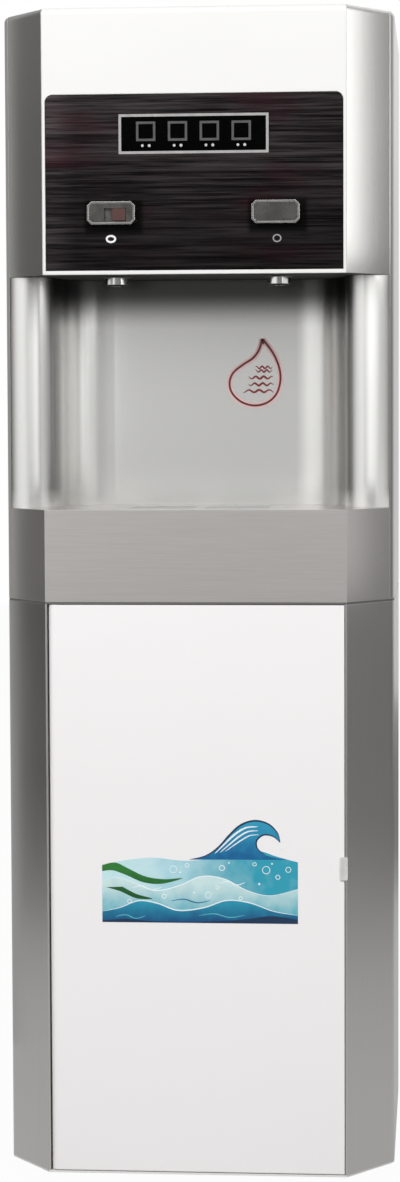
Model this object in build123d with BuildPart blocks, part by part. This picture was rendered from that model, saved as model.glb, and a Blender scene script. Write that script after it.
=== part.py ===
from build123d import *
import math
import os

os.makedirs("parts", exist_ok=True)

# Point-of-use water cooler: a floor-standing cabinet with an open dispensing bay.
# Millimetres, +Z up, front towards -Y, origin on the floor under the middle.

# Casing
foot_height = 8.0
casing_width = 337.6
casing_depth = 330.0
cabinet_height = 496.0
fascia_height = 79.0
bay_height = 200.0
head_height = 225.0
flat_width = 258.4
chamfer_depth = 52.5
corner_radius = 15.5
top_radius = 5.5
rear_radius = 8.0
sheet = 1.5
shell_wall = 2.5
fit_gap = 0.3
seam_gap = 0.1
panel_edge_inset = 4.2
rear_flange_width = 18.8
chamfer_reach = 7.5

# Planes and edges that follow from the casing
front_y = -casing_depth / 2
rear_y = casing_depth / 2
half_width = casing_width / 2
half_flat = flat_width / 2
panel_edge_x = half_width - panel_edge_inset
rear_flange_x = half_width - rear_flange_width
chamfer_zone_depth = chamfer_depth + chamfer_reach
base_z = foot_height
floor_z = base_z + sheet
seam_z = base_z + cabinet_height
shelf_z = seam_z + fascia_height
head_z = shelf_z + bay_height
top_z = head_z + head_height
rear_panel_y = rear_y - 2 * sheet
rear_panel_depth = casing_depth - 2 * sheet

# Base
rim_height = 14.0
rim_front_depth = 40.0
foot_radius = 14.0
foot_inset_x = 42.0
foot_inset_y = 48.0
foot_edge = 1.5

# Mid deck
deck_thickness = 1.8
deck_inset = 0.4
deck_z = seam_z - deck_thickness

# Door
door_gap = 0.6
door_clear_bottom = 0.8
door_clear_top = 0.6
door_frame_margin = 1.5
door_return_depth = 34.0
door_shell_depth = 16.0
door_inner_thickness = 1.0
door_edge_radius = 6.2
door_boss_size = 14.0
door_boss_height = 22.0
pin_radius = 2.5
pin_clearance = 0.05
pin_reach = 10.0
pin_head_radius = 3.4
pin_head_height = 1.0
pull_height = 20.0
pull_width = 6.5
pull_seat_width = 2.2
pull_thickness = 1.6
pull_lift = 0.4
pull_centre_height = 268.0
pull_overhang = 2.8
catch_width = 20.0
catch_depth = 13.0
catch_height = 30.0

# Head plate and control panel
plate_thickness = 6.0
panel_side_margin = 2.9
panel_height = 148.0
panel_thickness = 3.0
panel_corner = 6.5
panel_margin_bottom = 3.5
web_thickness = 2.0
seat_flange_width = 15.0
floor_thickness = 3.0

# Display
display_width = 127.2
display_height = 33.4
display_rise = 118.0
display_thickness = 1.6
display_relief = 0.4
display_border = 2.2
indicator_size = 16.4
indicator_line = 2.0
indicator_pitch = 27.0
indicator_rise = 120.2
light_well = 13.0

# Dispensing buttons
key_spacing = 139.4
key_width = 40.5
key_height = 19.2
key_clip = 3.4
key_proud = 8.0
key_travel = 4.0
key_rise = 51.5
key_rim = 1.6
key_flange = 2.0
key_flange_thickness = 1.5
key_stem_radius = 3.0
key_stem_length = 1.5
face_thickness = 2.2
board_depth = 19.0
board_thickness = 1.6
board_margin_low = 22.0
board_margin_high = 14.0
board_width = 190.0
board_post_radius = 3.0
switch_size = 6.0
switch_height = 4.0
switch_tip_radius = 1.6
spring_radius = 5.6
spring_wire = 0.9
spring_turns = 5
lock_width = 11.0
lock_height = 10.0
lock_travel = 7.0
lock_offset_x = 6.9
lock_offset_z = -1.5
lock_base_margin = 1.5
lock_base_thickness = 1.8
lock_proud = 1.0

# Taps
tap_spacing = 140.0
tap_depth = 40.0
nozzle_radius = 10.0
nozzle_bore = 5.0
nozzle_drop = 8.5
nozzle_top = 14.0
collar_radius = 12.0
collar_drop = 1.5
collar_neck = 10.9
collar_rise = 7.0
valve_width = 26.0
valve_length = 30.0
valve_height = 22.0
coil_radius = 12.0
coil_height = 26.0
port_radius = 4.0
port_length = 14.0

# Dispensing bay
bay_depth = 121.0
nose_radius = 22.0
nose_edge_inset = 16.6
nose_depth = 40.0
wall_slope = 80.0
cove_radius = 40.0

# Drip tray
shelf_thickness = 4.0
tray_width = 150.0
tray_length = 96.0
tray_front_depth = 14.0
tray_corner = 16.0
tray_flange = 6.0
tray_flange_thickness = 1.7
tray_wall = 2.0
tray_height = 24.0
tray_ledge = 2.0
grille_thickness = 2.4
grille_rows = 8
grille_slot_width = 3.8
grille_margin = 12.0
grille_bridge = 8.0

# Tanks
hot_side_gap = 9.3
hot_front_gap = 28.5
hot_rear_gap = 27.0
cold_side_gap = 23.3
cold_front_gap = 7.5
cold_rear_gap = 15.0
tank_gap = 26.0
radius_step = 10.0
hot_height = 160.0
hot_jacket_wall = 14.0
heater_wall = 1.6
heater_height = 40.0
cold_height = 330.0
cold_jacket_wall = 14.0
tank_wall = 1.5
jacket_floor = 12.0
lid_thickness = 4.0
stub_radius = 4.0
stub_bore = 2.5
drain_radius = 6.0
drain_rise = 24.0
drain_cap_wall = 2.5
drain_cap_length = 14.0

# Cooling stack
pad_size = 50.0
pad_reach = 17.0
module_size = 40.0
module_thickness = 4.0
sink_width = 110.0
sink_height = 100.0
sink_base = 6.0
sink_fin_length = 20.0
sink_fins = 12
sink_fin_thickness = 1.6
cooling_rise = 130.0
fan_size = 92.0
fan_depth = 20.0
fan_bore = 43.0
fan_corner = 5.0
hub_radius = 17.0
blade_count = 7
blade_tip = 41.5
blade_thickness = 1.6
blade_angle = 35.0
motor_radius = 15.0
strut_width = 4.0
strut_thickness = 3.0

# Float valve
valve_stem = 7.0
float_body_height = 36.0
float_pin_radius = 1.5
float_eye_radius = 3.6
float_arm_margin = 16.0
float_offset = 22.0
float_ball_radius = 12.0
float_travel = 25.0

# Filtration
cartridge_pitch = 64.0
cartridge_depth = 80.0
cartridge_radius = 28.0
cartridge_length = 235.0
cartridge_neck = 15.7
socket_radius = 16.0
socket_depth = 22.0
manifold_length = 196.0
manifold_width = 56.0
manifold_height = 44.0
shoulder_gap = 3.0
tube_radius = 3.2
silicone_radius = 4.0

# Rear fittings
rear_proud = key_proud + lock_proud
inlet_inset = 58.8
inlet_rise = 60.0
inlet_radius = 9.0
inlet_nut = 11.0
inlet_bore = 3.25
inlet_bore_length = 15.0
mains_x = 0.0
mains_rise = 60.0
rocker_length = 16.0
rocker_width = 11.0
rocker_tilt = 10.0
rocker_inset = 68.8
rocker_pitch = 40.0
rocker_rise = 178.0
supply_size = (50.0, 80.0, 110.0)
supply_rise = 330.0
supply_rear_gap = 47.0

# Tube routes
riser_left_inset = 18.8
riser_right_inset = 12.8
riser_pad_gap = 12.0
inlet_run = 65.0
supply_bend = 47.0
supply_climb = 25.0
supply_low_rise = 30.0
supply_mid_rise = 150.0
supply_front_depth = 150.0
supply_turn_depth = 110.0
supply_drop = 70.0
supply_stub_run = 20.0
delivery_stub_run = 24.0
delivery_dip = 12.0
delivery_turn_depth = 130.0
over_rise = 34.0
over_crest = 4.0
over_dip = 24.0
over_side_run = 20.0
over_front_run = 8.0
hot_bay_run = 81.0
cold_bay_run = 52.0
supply_bends = (20.0, 20.0, 30.0, 30.0, 20.0, 8.0)
delivery_bends = (8.0, 20.0, 18.0, 12.0, 12.0, 14.0)
hot_out_bends = (20.0, 25.0)
cold_out_bends = (7.0, 20.0, 20.0, 20.0)


def depth_y(depth):
    """Y of a plane that lies this deep behind the front face."""
    return front_y + depth


def front_plane(depth):
    """Plane parallel to the front face, its normal towards the viewer."""
    return Plane.XZ.offset(-depth_y(depth))


def casing_plan(inset):
    """Plan of the casing's outer face, drawn in by an inset."""
    with BuildSketch() as plan:
        with BuildLine():
            Polyline(
                (half_flat, front_y),
                (half_width, front_y + chamfer_depth),
                (half_width, rear_y),
                (-half_width, rear_y),
                (-half_width, front_y + chamfer_depth),
                (-half_flat, front_y),
                close=True,
            )
        make_face()
        if inset > 0:
            offset(amount=-inset, kind=Kind.INTERSECTION)
        fillet(plan.vertices().group_by(Axis.Y)[-1], rear_radius - inset)
        fillet(plan.vertices().group_by(Axis.Y)[1], corner_radius - inset)
    return plan.sketch


def rounded_casing():
    """Solid inside the casing's outer face, round along the top edge."""
    with BuildPart() as body:
        with BuildSketch(Plane.XY.offset(base_z)):
            add(casing_plan(0))
        extrude(amount=top_z - base_z)
        fillet(body.faces().sort_by(Axis.Z)[-1].edges(), top_radius)
    return body.part


def cut_box(x_low, x_high, y_low, y_high):
    """Takes a rectangle, given by its sides, out of the sketch being drawn."""
    with Locations((x_low, y_low)):
        Rectangle(
            x_high - x_low,
            y_high - y_low,
            align=(Align.MIN, Align.MIN),
            mode=Mode.SUBTRACT,
        )


def add_box(x_low, x_high, y_low, y_high):
    """Adds a rectangle, given by its sides, to the sketch being drawn."""
    with Locations((x_low, y_low)):
        Rectangle(x_high - x_low, y_high - y_low, align=(Align.MIN, Align.MIN))


def key_outline(width, height, clip):
    """Rectangle with clipped corners, centred on the sketch's origin."""
    with BuildSketch() as outline:
        Rectangle(width, height)
        chamfer(outline.vertices(), clip)
    return outline.sketch


# Places inside the casing: the tanks fill the room between the bay, sides and rear
liner_back = bay_depth + shell_wall
door_frame_x = half_flat - door_frame_margin
inner_x = half_width - sheet
tank_room_depth = rear_panel_depth - liner_back
stack_depth = pad_reach + module_thickness + sink_base + sink_fin_length + fan_depth
cold_room = tank_room_depth - cold_front_gap - cold_rear_gap - stack_depth
hot_room = tank_room_depth - hot_front_gap - hot_rear_gap
side_room = 2 * inner_x - hot_side_gap - tank_gap - cold_side_gap
shared_radius = (side_room - 2 * hot_jacket_wall - 2 * cold_jacket_wall) / 4
hot_radius = min(hot_room / 2 - hot_jacket_wall, shared_radius + radius_step / 2)
cold_radius = min((cold_room - cold_jacket_wall) / 2, shared_radius - radius_step / 2)
hot_jacket_radius = hot_radius + hot_jacket_wall
cold_jacket_radius = cold_radius + cold_jacket_wall
hot_x = hot_side_gap + hot_jacket_radius - inner_x
cold_x = inner_x - cold_side_gap - cold_jacket_radius
hot_depth = liner_back + hot_front_gap + hot_jacket_radius
cold_depth = liner_back + cold_front_gap + cold_jacket_radius
pad_depth = cold_depth + cold_radius + pad_reach

outer_plan = casing_plan(0)
sheet_plan = casing_plan(sheet)
shell_plan = casing_plan(shell_wall)
beyond = casing_width
casing_solid = rounded_casing()

# Base pan: a folded steel floor with an upstand behind the side panels
rim_outer_plan = casing_plan(sheet + fit_gap)
rim_inner_plan = casing_plan(2 * sheet + fit_gap)
with BuildPart() as base_pan:
    with BuildSketch(Plane.XY.offset(base_z)):
        add(outer_plan)
    extrude(amount=sheet)
    with BuildSketch(Plane.XY.offset(floor_z)):
        add(rim_outer_plan)
        add(rim_inner_plan, mode=Mode.SUBTRACT)
        cut_box(-beyond, beyond, -beyond, depth_y(rim_front_depth))
        cut_box(-beyond, beyond, rear_panel_y - fit_gap, beyond)
    extrude(amount=rim_height)
base_pan.part.label = "base_pan"
export_step(base_pan.part, "parts/base_pan.step")

# Feet: four rubber glides set back from the edges
foot_x = half_width - foot_inset_x
foot_y = rear_y - foot_inset_y
with BuildPart() as feet:
    with Locations(*[(x, y, 0) for x in (-foot_x, foot_x) for y in (-foot_y, foot_y)]):
        Cylinder(foot_radius, foot_height, align=(Align.CENTER, Align.CENTER, Align.MIN))
    chamfer(feet.edges().group_by(Axis.Z)[0], foot_edge)
feet.part.label = "feet"
export_step(feet.part, "parts/feet.step")

# Lower side panels: rear flange, side, rounded corner, chamfer and the door's return
with BuildPart() as lower_side_right:
    with BuildSketch(Plane.XY.offset(floor_z)):
        add(outer_plan)
        add(sheet_plan, mode=Mode.SUBTRACT)
        cut_box(-beyond, door_frame_x, -beyond, 0)
        cut_box(-beyond, rear_flange_x, 0, beyond)
        add_box(door_frame_x, door_frame_x + sheet, front_y, depth_y(door_return_depth))
    extrude(amount=deck_z - floor_z)
lower_side_right.part.label = "lower_side_right"
export_step(lower_side_right.part, "parts/lower_side_right.step")

with BuildPart() as lower_side_left:
    mirror(lower_side_right.part, about=Plane.YZ)
lower_side_left.part.label = "lower_side_left"
export_step(lower_side_left.part, "parts/lower_side_left.step")

# Upper side panels, with a flange at the top that the cover lies on
lid_flange_z = top_z - 3.5
lid_flange_width = 12.0
with BuildPart() as upper_side_right:
    with BuildSketch(Plane.XY.offset(seam_z)):
        add(outer_plan)
        add(sheet_plan, mode=Mode.SUBTRACT)
        cut_box(-beyond, panel_edge_x, -beyond, 0)
        cut_box(-beyond, rear_flange_x, 0, beyond)
    extrude(amount=top_z - seam_z)
    with BuildSketch(Plane.XY.offset(lid_flange_z - sheet)):
        add_box(
            half_width - sheet - lid_flange_width,
            half_width - sheet / 2,
            depth_y(chamfer_zone_depth) + shell_wall,
            rear_panel_y - lid_flange_width,
        )
    extrude(amount=sheet)
    add(casing_solid, mode=Mode.INTERSECT)
upper_side_right.part.label = "upper_side_right"
export_step(upper_side_right.part, "parts/upper_side_right.step")

with BuildPart() as upper_side_left:
    mirror(upper_side_right.part, about=Plane.YZ)
upper_side_left.part.label = "upper_side_left"
export_step(upper_side_left.part, "parts/upper_side_left.step")

# Mid deck: the dark sheet in the seam, which carries the tanks and the door's upper pin
hinge_x = -(door_frame_x - door_gap - door_edge_radius)
hinge_y = depth_y(door_edge_radius)
riser_x = half_width - riser_right_inset
riser_depth = pad_depth - riser_pad_gap
grommet_radius = tube_radius + 1.0
with BuildPart() as mid_deck:
    with BuildSketch(Plane.XY.offset(deck_z)):
        add(casing_plan(deck_inset))
        cut_box(-beyond, beyond, rear_panel_y - fit_gap, beyond)
        with Locations((hinge_x, hinge_y)):
            Circle(pin_radius + pin_clearance, mode=Mode.SUBTRACT)
        with Locations((riser_x, depth_y(riser_depth))):
            Circle(grommet_radius, mode=Mode.SUBTRACT)
    extrude(amount=deck_thickness)
mid_deck.part.label = "mid_deck"
export_step(mid_deck.part, "parts/mid_deck.step")

# Fascia: front band with both chamfers, and the shelf that is the bay's floor
fascia_x = panel_edge_x - seam_gap
tray_centre_y = depth_y(tray_front_depth + tray_length / 2)
with BuildPart() as fascia:
    with BuildSketch(Plane.XY.offset(seam_z)):
        add(outer_plan)
        add(shell_plan, mode=Mode.SUBTRACT)
        cut_box(-beyond, -fascia_x, -beyond, beyond)
        cut_box(fascia_x, beyond, -beyond, beyond)
        cut_box(-beyond, beyond, depth_y(chamfer_zone_depth), beyond)
    extrude(amount=fascia_height - shelf_thickness)
    with BuildSketch(Plane.XY.offset(shelf_z - shelf_thickness)):
        add(outer_plan)
        cut_box(-beyond, -fascia_x, -beyond, beyond)
        cut_box(fascia_x, beyond, -beyond, beyond)
        cut_box(-beyond, beyond, depth_y(liner_back), beyond)
        with Locations((0, tray_centre_y)):
            RectangleRounded(tray_width, tray_length, tray_corner, mode=Mode.SUBTRACT)
    extrude(amount=shelf_thickness)
    with BuildSketch(Plane.XY.offset(shelf_z)):
        with Locations((0, tray_centre_y)):
            RectangleRounded(
                tray_width + 2 * tray_flange,
                tray_length + 2 * tray_flange,
                tray_corner + tray_flange,
            )
    extrude(amount=-(tray_flange_thickness + fit_gap), mode=Mode.SUBTRACT)
fascia.part.label = "fascia"
export_step(fascia.part, "parts/fascia.step")

# Bay liner: flat back, a cove, a steep wall and a convex nose at each side
slope = math.radians(wall_slope)
nose_x = panel_edge_x - nose_edge_inset
nose_end = math.degrees(math.asin((fascia_x - nose_x) / nose_radius))
nose_centre = (nose_x, depth_y(nose_depth + nose_radius))
wall_front_depth = nose_depth + nose_radius * (1 - math.cos(slope))
wall_rear_depth = bay_depth - cove_radius * (1 - math.cos(slope))
wall_run = (wall_rear_depth - wall_front_depth) / math.sin(slope)
wall_front_x = nose_x - nose_radius * math.sin(slope)
wall_rear_x = wall_front_x - wall_run * math.cos(slope)
cove_x = wall_rear_x - cove_radius * math.sin(slope)
cove_centre = (cove_x, depth_y(bay_depth - cove_radius))
with BuildPart() as bay_liner:
    with BuildSketch(Plane.XY.offset(shelf_z)):
        with BuildLine():
            seen_nose = CenterArc(
                nose_centre, nose_radius, 270 - wall_slope, wall_slope + nose_end
            )
            seen_cove = CenterArc(cove_centre, cove_radius, 90 - wall_slope, wall_slope)
            Line(seen_nose @ 0, seen_cove @ 0)
            back_nose = CenterArc(
                nose_centre,
                nose_radius - shell_wall,
                270 - wall_slope,
                wall_slope + nose_end,
            )
            back_cove = CenterArc(
                cove_centre, cove_radius + shell_wall, 90 - wall_slope, wall_slope
            )
            Line(back_nose @ 0, back_cove @ 0)
            Line(seen_nose @ 1, back_nose @ 1)
            Line(seen_cove @ 1, (0, depth_y(bay_depth)))
            Line((0, depth_y(bay_depth)), (0, depth_y(liner_back)))
            Line((0, depth_y(liner_back)), back_cove @ 1)
        make_face()
        mirror(about=Plane.YZ)
    extrude(amount=bay_height)
bay_liner.part.label = "bay_liner"
export_step(bay_liner.part, "parts/bay_liner.step")

# Head shell: both chamfers, the seat behind the front plate, and the head's underside
plate_half = half_flat - seam_gap
seat_depth = plate_thickness + fit_gap
tap_x = (-tap_spacing / 2, tap_spacing / 2)
tap_y = depth_y(tap_depth)
tap_points = [(x, tap_y) for x in tap_x]
with BuildPart() as head_shell:
    with BuildSketch(Plane.XY.offset(head_z)):
        add(outer_plan)
        add(shell_plan, mode=Mode.SUBTRACT)
        cut_box(-beyond, -fascia_x, -beyond, beyond)
        cut_box(fascia_x, beyond, -beyond, beyond)
        cut_box(-beyond, beyond, depth_y(chamfer_zone_depth), beyond)
        cut_box(-half_flat, half_flat, -beyond, beyond)
    extrude(amount=head_height)
    with BuildSketch(Plane.XY.offset(head_z)) as seat:
        for side in (-1, 1):
            with Locations((side * (half_flat + web_thickness / 2), depth_y(seat_depth / 2))):
                Rectangle(web_thickness, seat_depth + 2 * shell_wall)
            with Locations(
                (
                    side * (half_flat + web_thickness - seat_flange_width / 2),
                    depth_y(seat_depth + shell_wall / 2),
                )
            ):
                Rectangle(seat_flange_width, shell_wall)
        add(outer_plan, mode=Mode.INTERSECT)
    extrude(amount=head_height)
    with BuildSketch(Plane.XY.offset(head_z)):
        add(outer_plan)
        cut_box(-beyond, -fascia_x, -beyond, beyond)
        cut_box(fascia_x, beyond, -beyond, beyond)
        cut_box(-beyond, beyond, depth_y(liner_back), beyond)
        cut_box(-half_flat, half_flat, -beyond, depth_y(seat_depth))
        with Locations(*tap_points):
            Circle(collar_neck + fit_gap, mode=Mode.SUBTRACT)
    extrude(amount=floor_thickness)
    add(casing_solid, mode=Mode.INTERSECT)
head_shell.part.label = "head_shell"
export_step(head_shell.part, "parts/head_shell.step")

# Head plate: the white front with a pocket for the control panel
panel_width = flat_width - 2 * panel_side_margin
panel_z = head_z + panel_margin_bottom + panel_height / 2
display_z = head_z + display_rise
indicator_z = head_z + indicator_rise
indicator_x = [(i - 1.5) * indicator_pitch for i in range(4)]
key_z = head_z + key_rise
key_x = (-key_spacing / 2, key_spacing / 2)
board_low = key_z - board_margin_low
board_high = display_z + board_margin_high
board_post_x = board_width / 2 - 2 * board_post_radius
board_posts = [
    (x, z)
    for x in (-board_post_x, board_post_x)
    for z in (board_low + 2 * board_post_radius, board_high - 2 * board_post_radius)
]
with BuildPart() as head_plate:
    with BuildSketch(front_plane(0)):
        with Locations((0, (head_z + top_z) / 2)):
            Rectangle(2 * plate_half, head_height)
    extrude(amount=-plate_thickness)
    with BuildSketch(front_plane(0)) as pocket:
        with Locations((0, panel_z)):
            Rectangle(panel_width + 2 * fit_gap, panel_height + 2 * fit_gap)
        fillet(pocket.vertices().group_by(Axis.Y)[-1], panel_corner)
    extrude(amount=-panel_thickness, mode=Mode.SUBTRACT)
    with BuildSketch(front_plane(0)):
        with Locations(*[(x, key_z) for x in key_x]):
            add(key_outline(key_width + 2 * fit_gap, key_height + 2 * fit_gap, key_clip))
        with Locations(*[(x, indicator_z) for x in indicator_x]):
            Rectangle(light_well, light_well)
    extrude(amount=-plate_thickness, mode=Mode.SUBTRACT)
    with BuildSketch(front_plane(plate_thickness)):
        with Locations(*board_posts):
            Circle(board_post_radius)
    extrude(amount=-(board_depth - plate_thickness))
    add(casing_solid, mode=Mode.INTERSECT)
head_plate.part.label = "head_plate"
export_step(head_plate.part, "parts/head_plate.step")

# Control panel: black sheet, with the display's pocket and the button holes
with BuildPart() as control_panel:
    with BuildSketch(front_plane(0)) as face:
        with Locations((0, panel_z)):
            Rectangle(panel_width, panel_height)
        fillet(face.vertices().group_by(Axis.Y)[-1], panel_corner)
        with Locations(*[(x, key_z) for x in key_x]):
            add(
                key_outline(key_width + 2 * fit_gap, key_height + 2 * fit_gap, key_clip),
                mode=Mode.SUBTRACT,
            )
    extrude(amount=-panel_thickness)
    with BuildSketch(front_plane(0)):
        with Locations((0, display_z)):
            Rectangle(display_width + fit_gap, display_height + fit_gap)
    extrude(amount=-display_thickness, mode=Mode.SUBTRACT)
    with BuildSketch(front_plane(0)):
        with Locations(*[(x, indicator_z) for x in indicator_x]):
            Rectangle(light_well, light_well)
    extrude(amount=-panel_thickness, mode=Mode.SUBTRACT)
control_panel.part.label = "control_panel"
export_step(control_panel.part, "parts/control_panel.step")

# Display window: a dark lens with a raised border and four raised square outlines
with BuildPart() as display_window:
    with BuildSketch(front_plane(0)):
        with Locations((0, display_z)):
            Rectangle(display_width, display_height)
    extrude(amount=-display_thickness)
    with BuildSketch(front_plane(0)):
        with Locations((0, display_z)):
            Rectangle(display_width, display_height)
            Rectangle(
                display_width - 2 * display_border,
                display_height - 2 * display_border,
                mode=Mode.SUBTRACT,
            )
        with Locations(*[(x, indicator_z) for x in indicator_x]):
            Rectangle(indicator_size, indicator_size)
            Rectangle(
                indicator_size - 2 * indicator_line,
                indicator_size - 2 * indicator_line,
                mode=Mode.SUBTRACT,
            )
    extrude(amount=display_relief)
display_window.part.label = "display_window"
export_step(display_window.part, "parts/display_window.step")

# Control board: circuit board with one press switch behind each button and four lamps
lamp_size = 5.0
lamp_height = 3.0
with BuildPart() as control_board:
    with BuildSketch(front_plane(board_depth)):
        with Locations((0, (board_low + board_high) / 2)):
            Rectangle(board_width, board_high - board_low)
    extrude(amount=-board_thickness)
    with BuildSketch(front_plane(board_depth)):
        with Locations(*[(x, key_z) for x in key_x]):
            Rectangle(switch_size, switch_size)
    extrude(amount=switch_height)
    with BuildSketch(front_plane(board_depth)):
        with Locations(*[(x, key_z) for x in key_x]):
            Circle(switch_tip_radius)
    extrude(amount=switch_height + 1.3)
    with BuildSketch(front_plane(board_depth)):
        with Locations(*[(x, indicator_z) for x in indicator_x]):
            Rectangle(lamp_size, lamp_size)
    extrude(amount=lamp_height)
control_board.part.label = "control_board"
export_step(control_board.part, "parts/control_board.step")

# Buttons: a bright cup with a clear smoked face, a stem and a retaining flange
flange_depth = plate_thickness + fit_gap
face_floor_depth = -key_proud + face_thickness + 0.2
lock_pocket_depth = lock_base_thickness + 2 * fit_gap
lock_room = lock_travel + 2 * fit_gap
face_width = key_width - 2 * key_rim
face_height = key_height - 2 * key_rim
face_clip = key_clip - key_rim / 2


def slide_room(x, width, height):
    """Adds the room that the lock needs when it slides towards the left."""
    with Locations((x + lock_offset_x - lock_travel / 2, key_z + lock_offset_z)):
        Rectangle(width + lock_room, height + 2 * fit_gap)


for name, x in (("hot_button", key_x[0]), ("cold_button", key_x[1])):
    with BuildPart() as button:
        with BuildSketch(front_plane(flange_depth)):
            with Locations((x, key_z)):
                add(key_outline(key_width, key_height, key_clip))
        extrude(amount=flange_depth + key_proud)
        with BuildSketch(front_plane(flange_depth)):
            with Locations((x, key_z)):
                Rectangle(key_width + 2 * key_flange, key_height + 2 * key_flange)
        extrude(amount=-key_flange_thickness)
        with BuildSketch(front_plane(flange_depth + key_flange_thickness)):
            with Locations((x, key_z)):
                Circle(key_stem_radius)
        extrude(amount=-key_stem_length)
        with BuildSketch(front_plane(face_floor_depth)):
            with Locations((x, key_z)):
                add(key_outline(face_width, face_height, face_clip))
        extrude(amount=key_proud, mode=Mode.SUBTRACT)
        if name == "hot_button":
            with BuildSketch(front_plane(face_floor_depth)):
                slide_room(
                    x,
                    lock_width + 2 * lock_base_margin,
                    lock_height + 2 * lock_base_margin,
                )
            extrude(amount=-lock_pocket_depth, mode=Mode.SUBTRACT)
    button.part.label = name
    export_step(button.part, f"parts/{name}.step")

    with BuildPart() as button_face:
        with BuildSketch(front_plane(face_floor_depth)):
            with Locations((x, key_z)):
                add(key_outline(face_width - 0.2, face_height - 0.2, face_clip))
            if name == "hot_button":
                with Locations(
                    (x + lock_offset_x - lock_travel / 2, key_z + lock_offset_z)
                ):
                    Rectangle(
                        lock_width + lock_room,
                        lock_height + 2 * fit_gap,
                        mode=Mode.SUBTRACT,
                    )
        extrude(amount=face_thickness)
    button_face.part.label = f"{name}_face"
    export_step(button_face.part, f"parts/{name}_face.step")

    spring_front = flange_depth + key_flange_thickness + spring_wire / 2
    spring_length = board_depth - spring_wire / 2 - spring_front
    spring_plane = Plane(
        origin=(x, depth_y(spring_front), key_z), x_dir=(1, 0, 0), z_dir=(0, 1, 0)
    )
    coil_path = spring_plane * Helix(spring_length / spring_turns, spring_length, spring_radius)
    with BuildPart() as button_spring:
        with BuildSketch(Plane(coil_path @ 0, z_dir=coil_path % 0)):
            Circle(spring_wire / 2)
        sweep(path=coil_path, is_frenet=True)
    button_spring.part.label = f"{name}_spring"
    export_step(button_spring.part, f"parts/{name}_spring.step")

# Child lock: a red slide in the hot button, a thumb piece on a wider base
lock_x = key_x[0] + lock_offset_x
lock_z = key_z + lock_offset_z
lock_base_depth = face_floor_depth + lock_pocket_depth - fit_gap
with BuildPart() as child_lock:
    with BuildSketch(front_plane(lock_base_depth)):
        with Locations((lock_x, lock_z)):
            Rectangle(lock_width + 2 * lock_base_margin, lock_height + 2 * lock_base_margin)
    extrude(amount=lock_base_thickness)
    with BuildSketch(front_plane(lock_base_depth)):
        with Locations((lock_x, lock_z)):
            RectangleRounded(lock_width, lock_height, 1)
    extrude(amount=lock_base_depth + key_proud + lock_proud)
child_lock.part.label = "child_lock"
export_step(child_lock.part, "parts/child_lock.step")

# Taps: a chrome nozzle in a black collar at each side, and a valve on top of each
collar_seat_z = head_z + floor_thickness + collar_rise
with BuildPart() as nozzles:
    with BuildSketch(Plane.XY.offset(head_z - nozzle_drop)):
        with Locations(*tap_points):
            Circle(nozzle_radius)
    extrude(amount=nozzle_drop + nozzle_top)
    chamfer(nozzles.edges().group_by(Axis.Z)[0], 1.2)
    with BuildSketch(Plane.XY.offset(collar_seat_z)):
        with Locations(*tap_points):
            Circle(nozzle_radius + 2)
    extrude(amount=2)
    with BuildSketch(Plane.XY.offset(head_z - nozzle_drop)):
        with Locations(*tap_points):
            Circle(nozzle_bore)
    extrude(amount=nozzle_drop + nozzle_top, mode=Mode.SUBTRACT)
nozzles.part.label = "nozzles"
export_step(nozzles.part, "parts/nozzles.step")

with BuildPart() as nozzle_collars:
    with BuildSketch(Plane.XY.offset(head_z - collar_drop)):
        with Locations(*tap_points):
            Circle(collar_radius)
    extrude(amount=collar_drop)
    chamfer(nozzle_collars.edges().group_by(Axis.Z)[0], 1)
    with BuildSketch(Plane.XY.offset(head_z)):
        with Locations(*tap_points):
            Circle(collar_neck)
    extrude(amount=floor_thickness + collar_rise)
    with BuildSketch(Plane.XY.offset(head_z - collar_drop)):
        with Locations(*tap_points):
            Circle(nozzle_radius + 0.1)
    extrude(amount=collar_drop + floor_thickness + collar_rise, mode=Mode.SUBTRACT)
nozzle_collars.part.label = "nozzle_collars"
export_step(nozzle_collars.part, "parts/nozzle_collars.step")

valve_z = head_z + nozzle_top
port_z = valve_z + valve_height / 2
port_end_y = tap_y + valve_length / 2 + port_length
with BuildPart() as tap_valves:
    with BuildSketch(Plane.XY.offset(valve_z)):
        with Locations(*tap_points):
            RectangleRounded(valve_width, valve_length, 3)
    extrude(amount=valve_height)
    with BuildSketch(Plane.XY.offset(valve_z + valve_height)):
        with Locations(*tap_points):
            Circle(coil_radius)
    extrude(amount=coil_height)
    with BuildSketch(Plane.XZ.offset(-port_end_y)):
        with Locations(*[(x, port_z) for x in tap_x]):
            Circle(port_radius)
    extrude(amount=port_length)
tap_valves.part.label = "tap_valves"
export_step(tap_valves.part, "parts/tap_valves.step")

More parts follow.
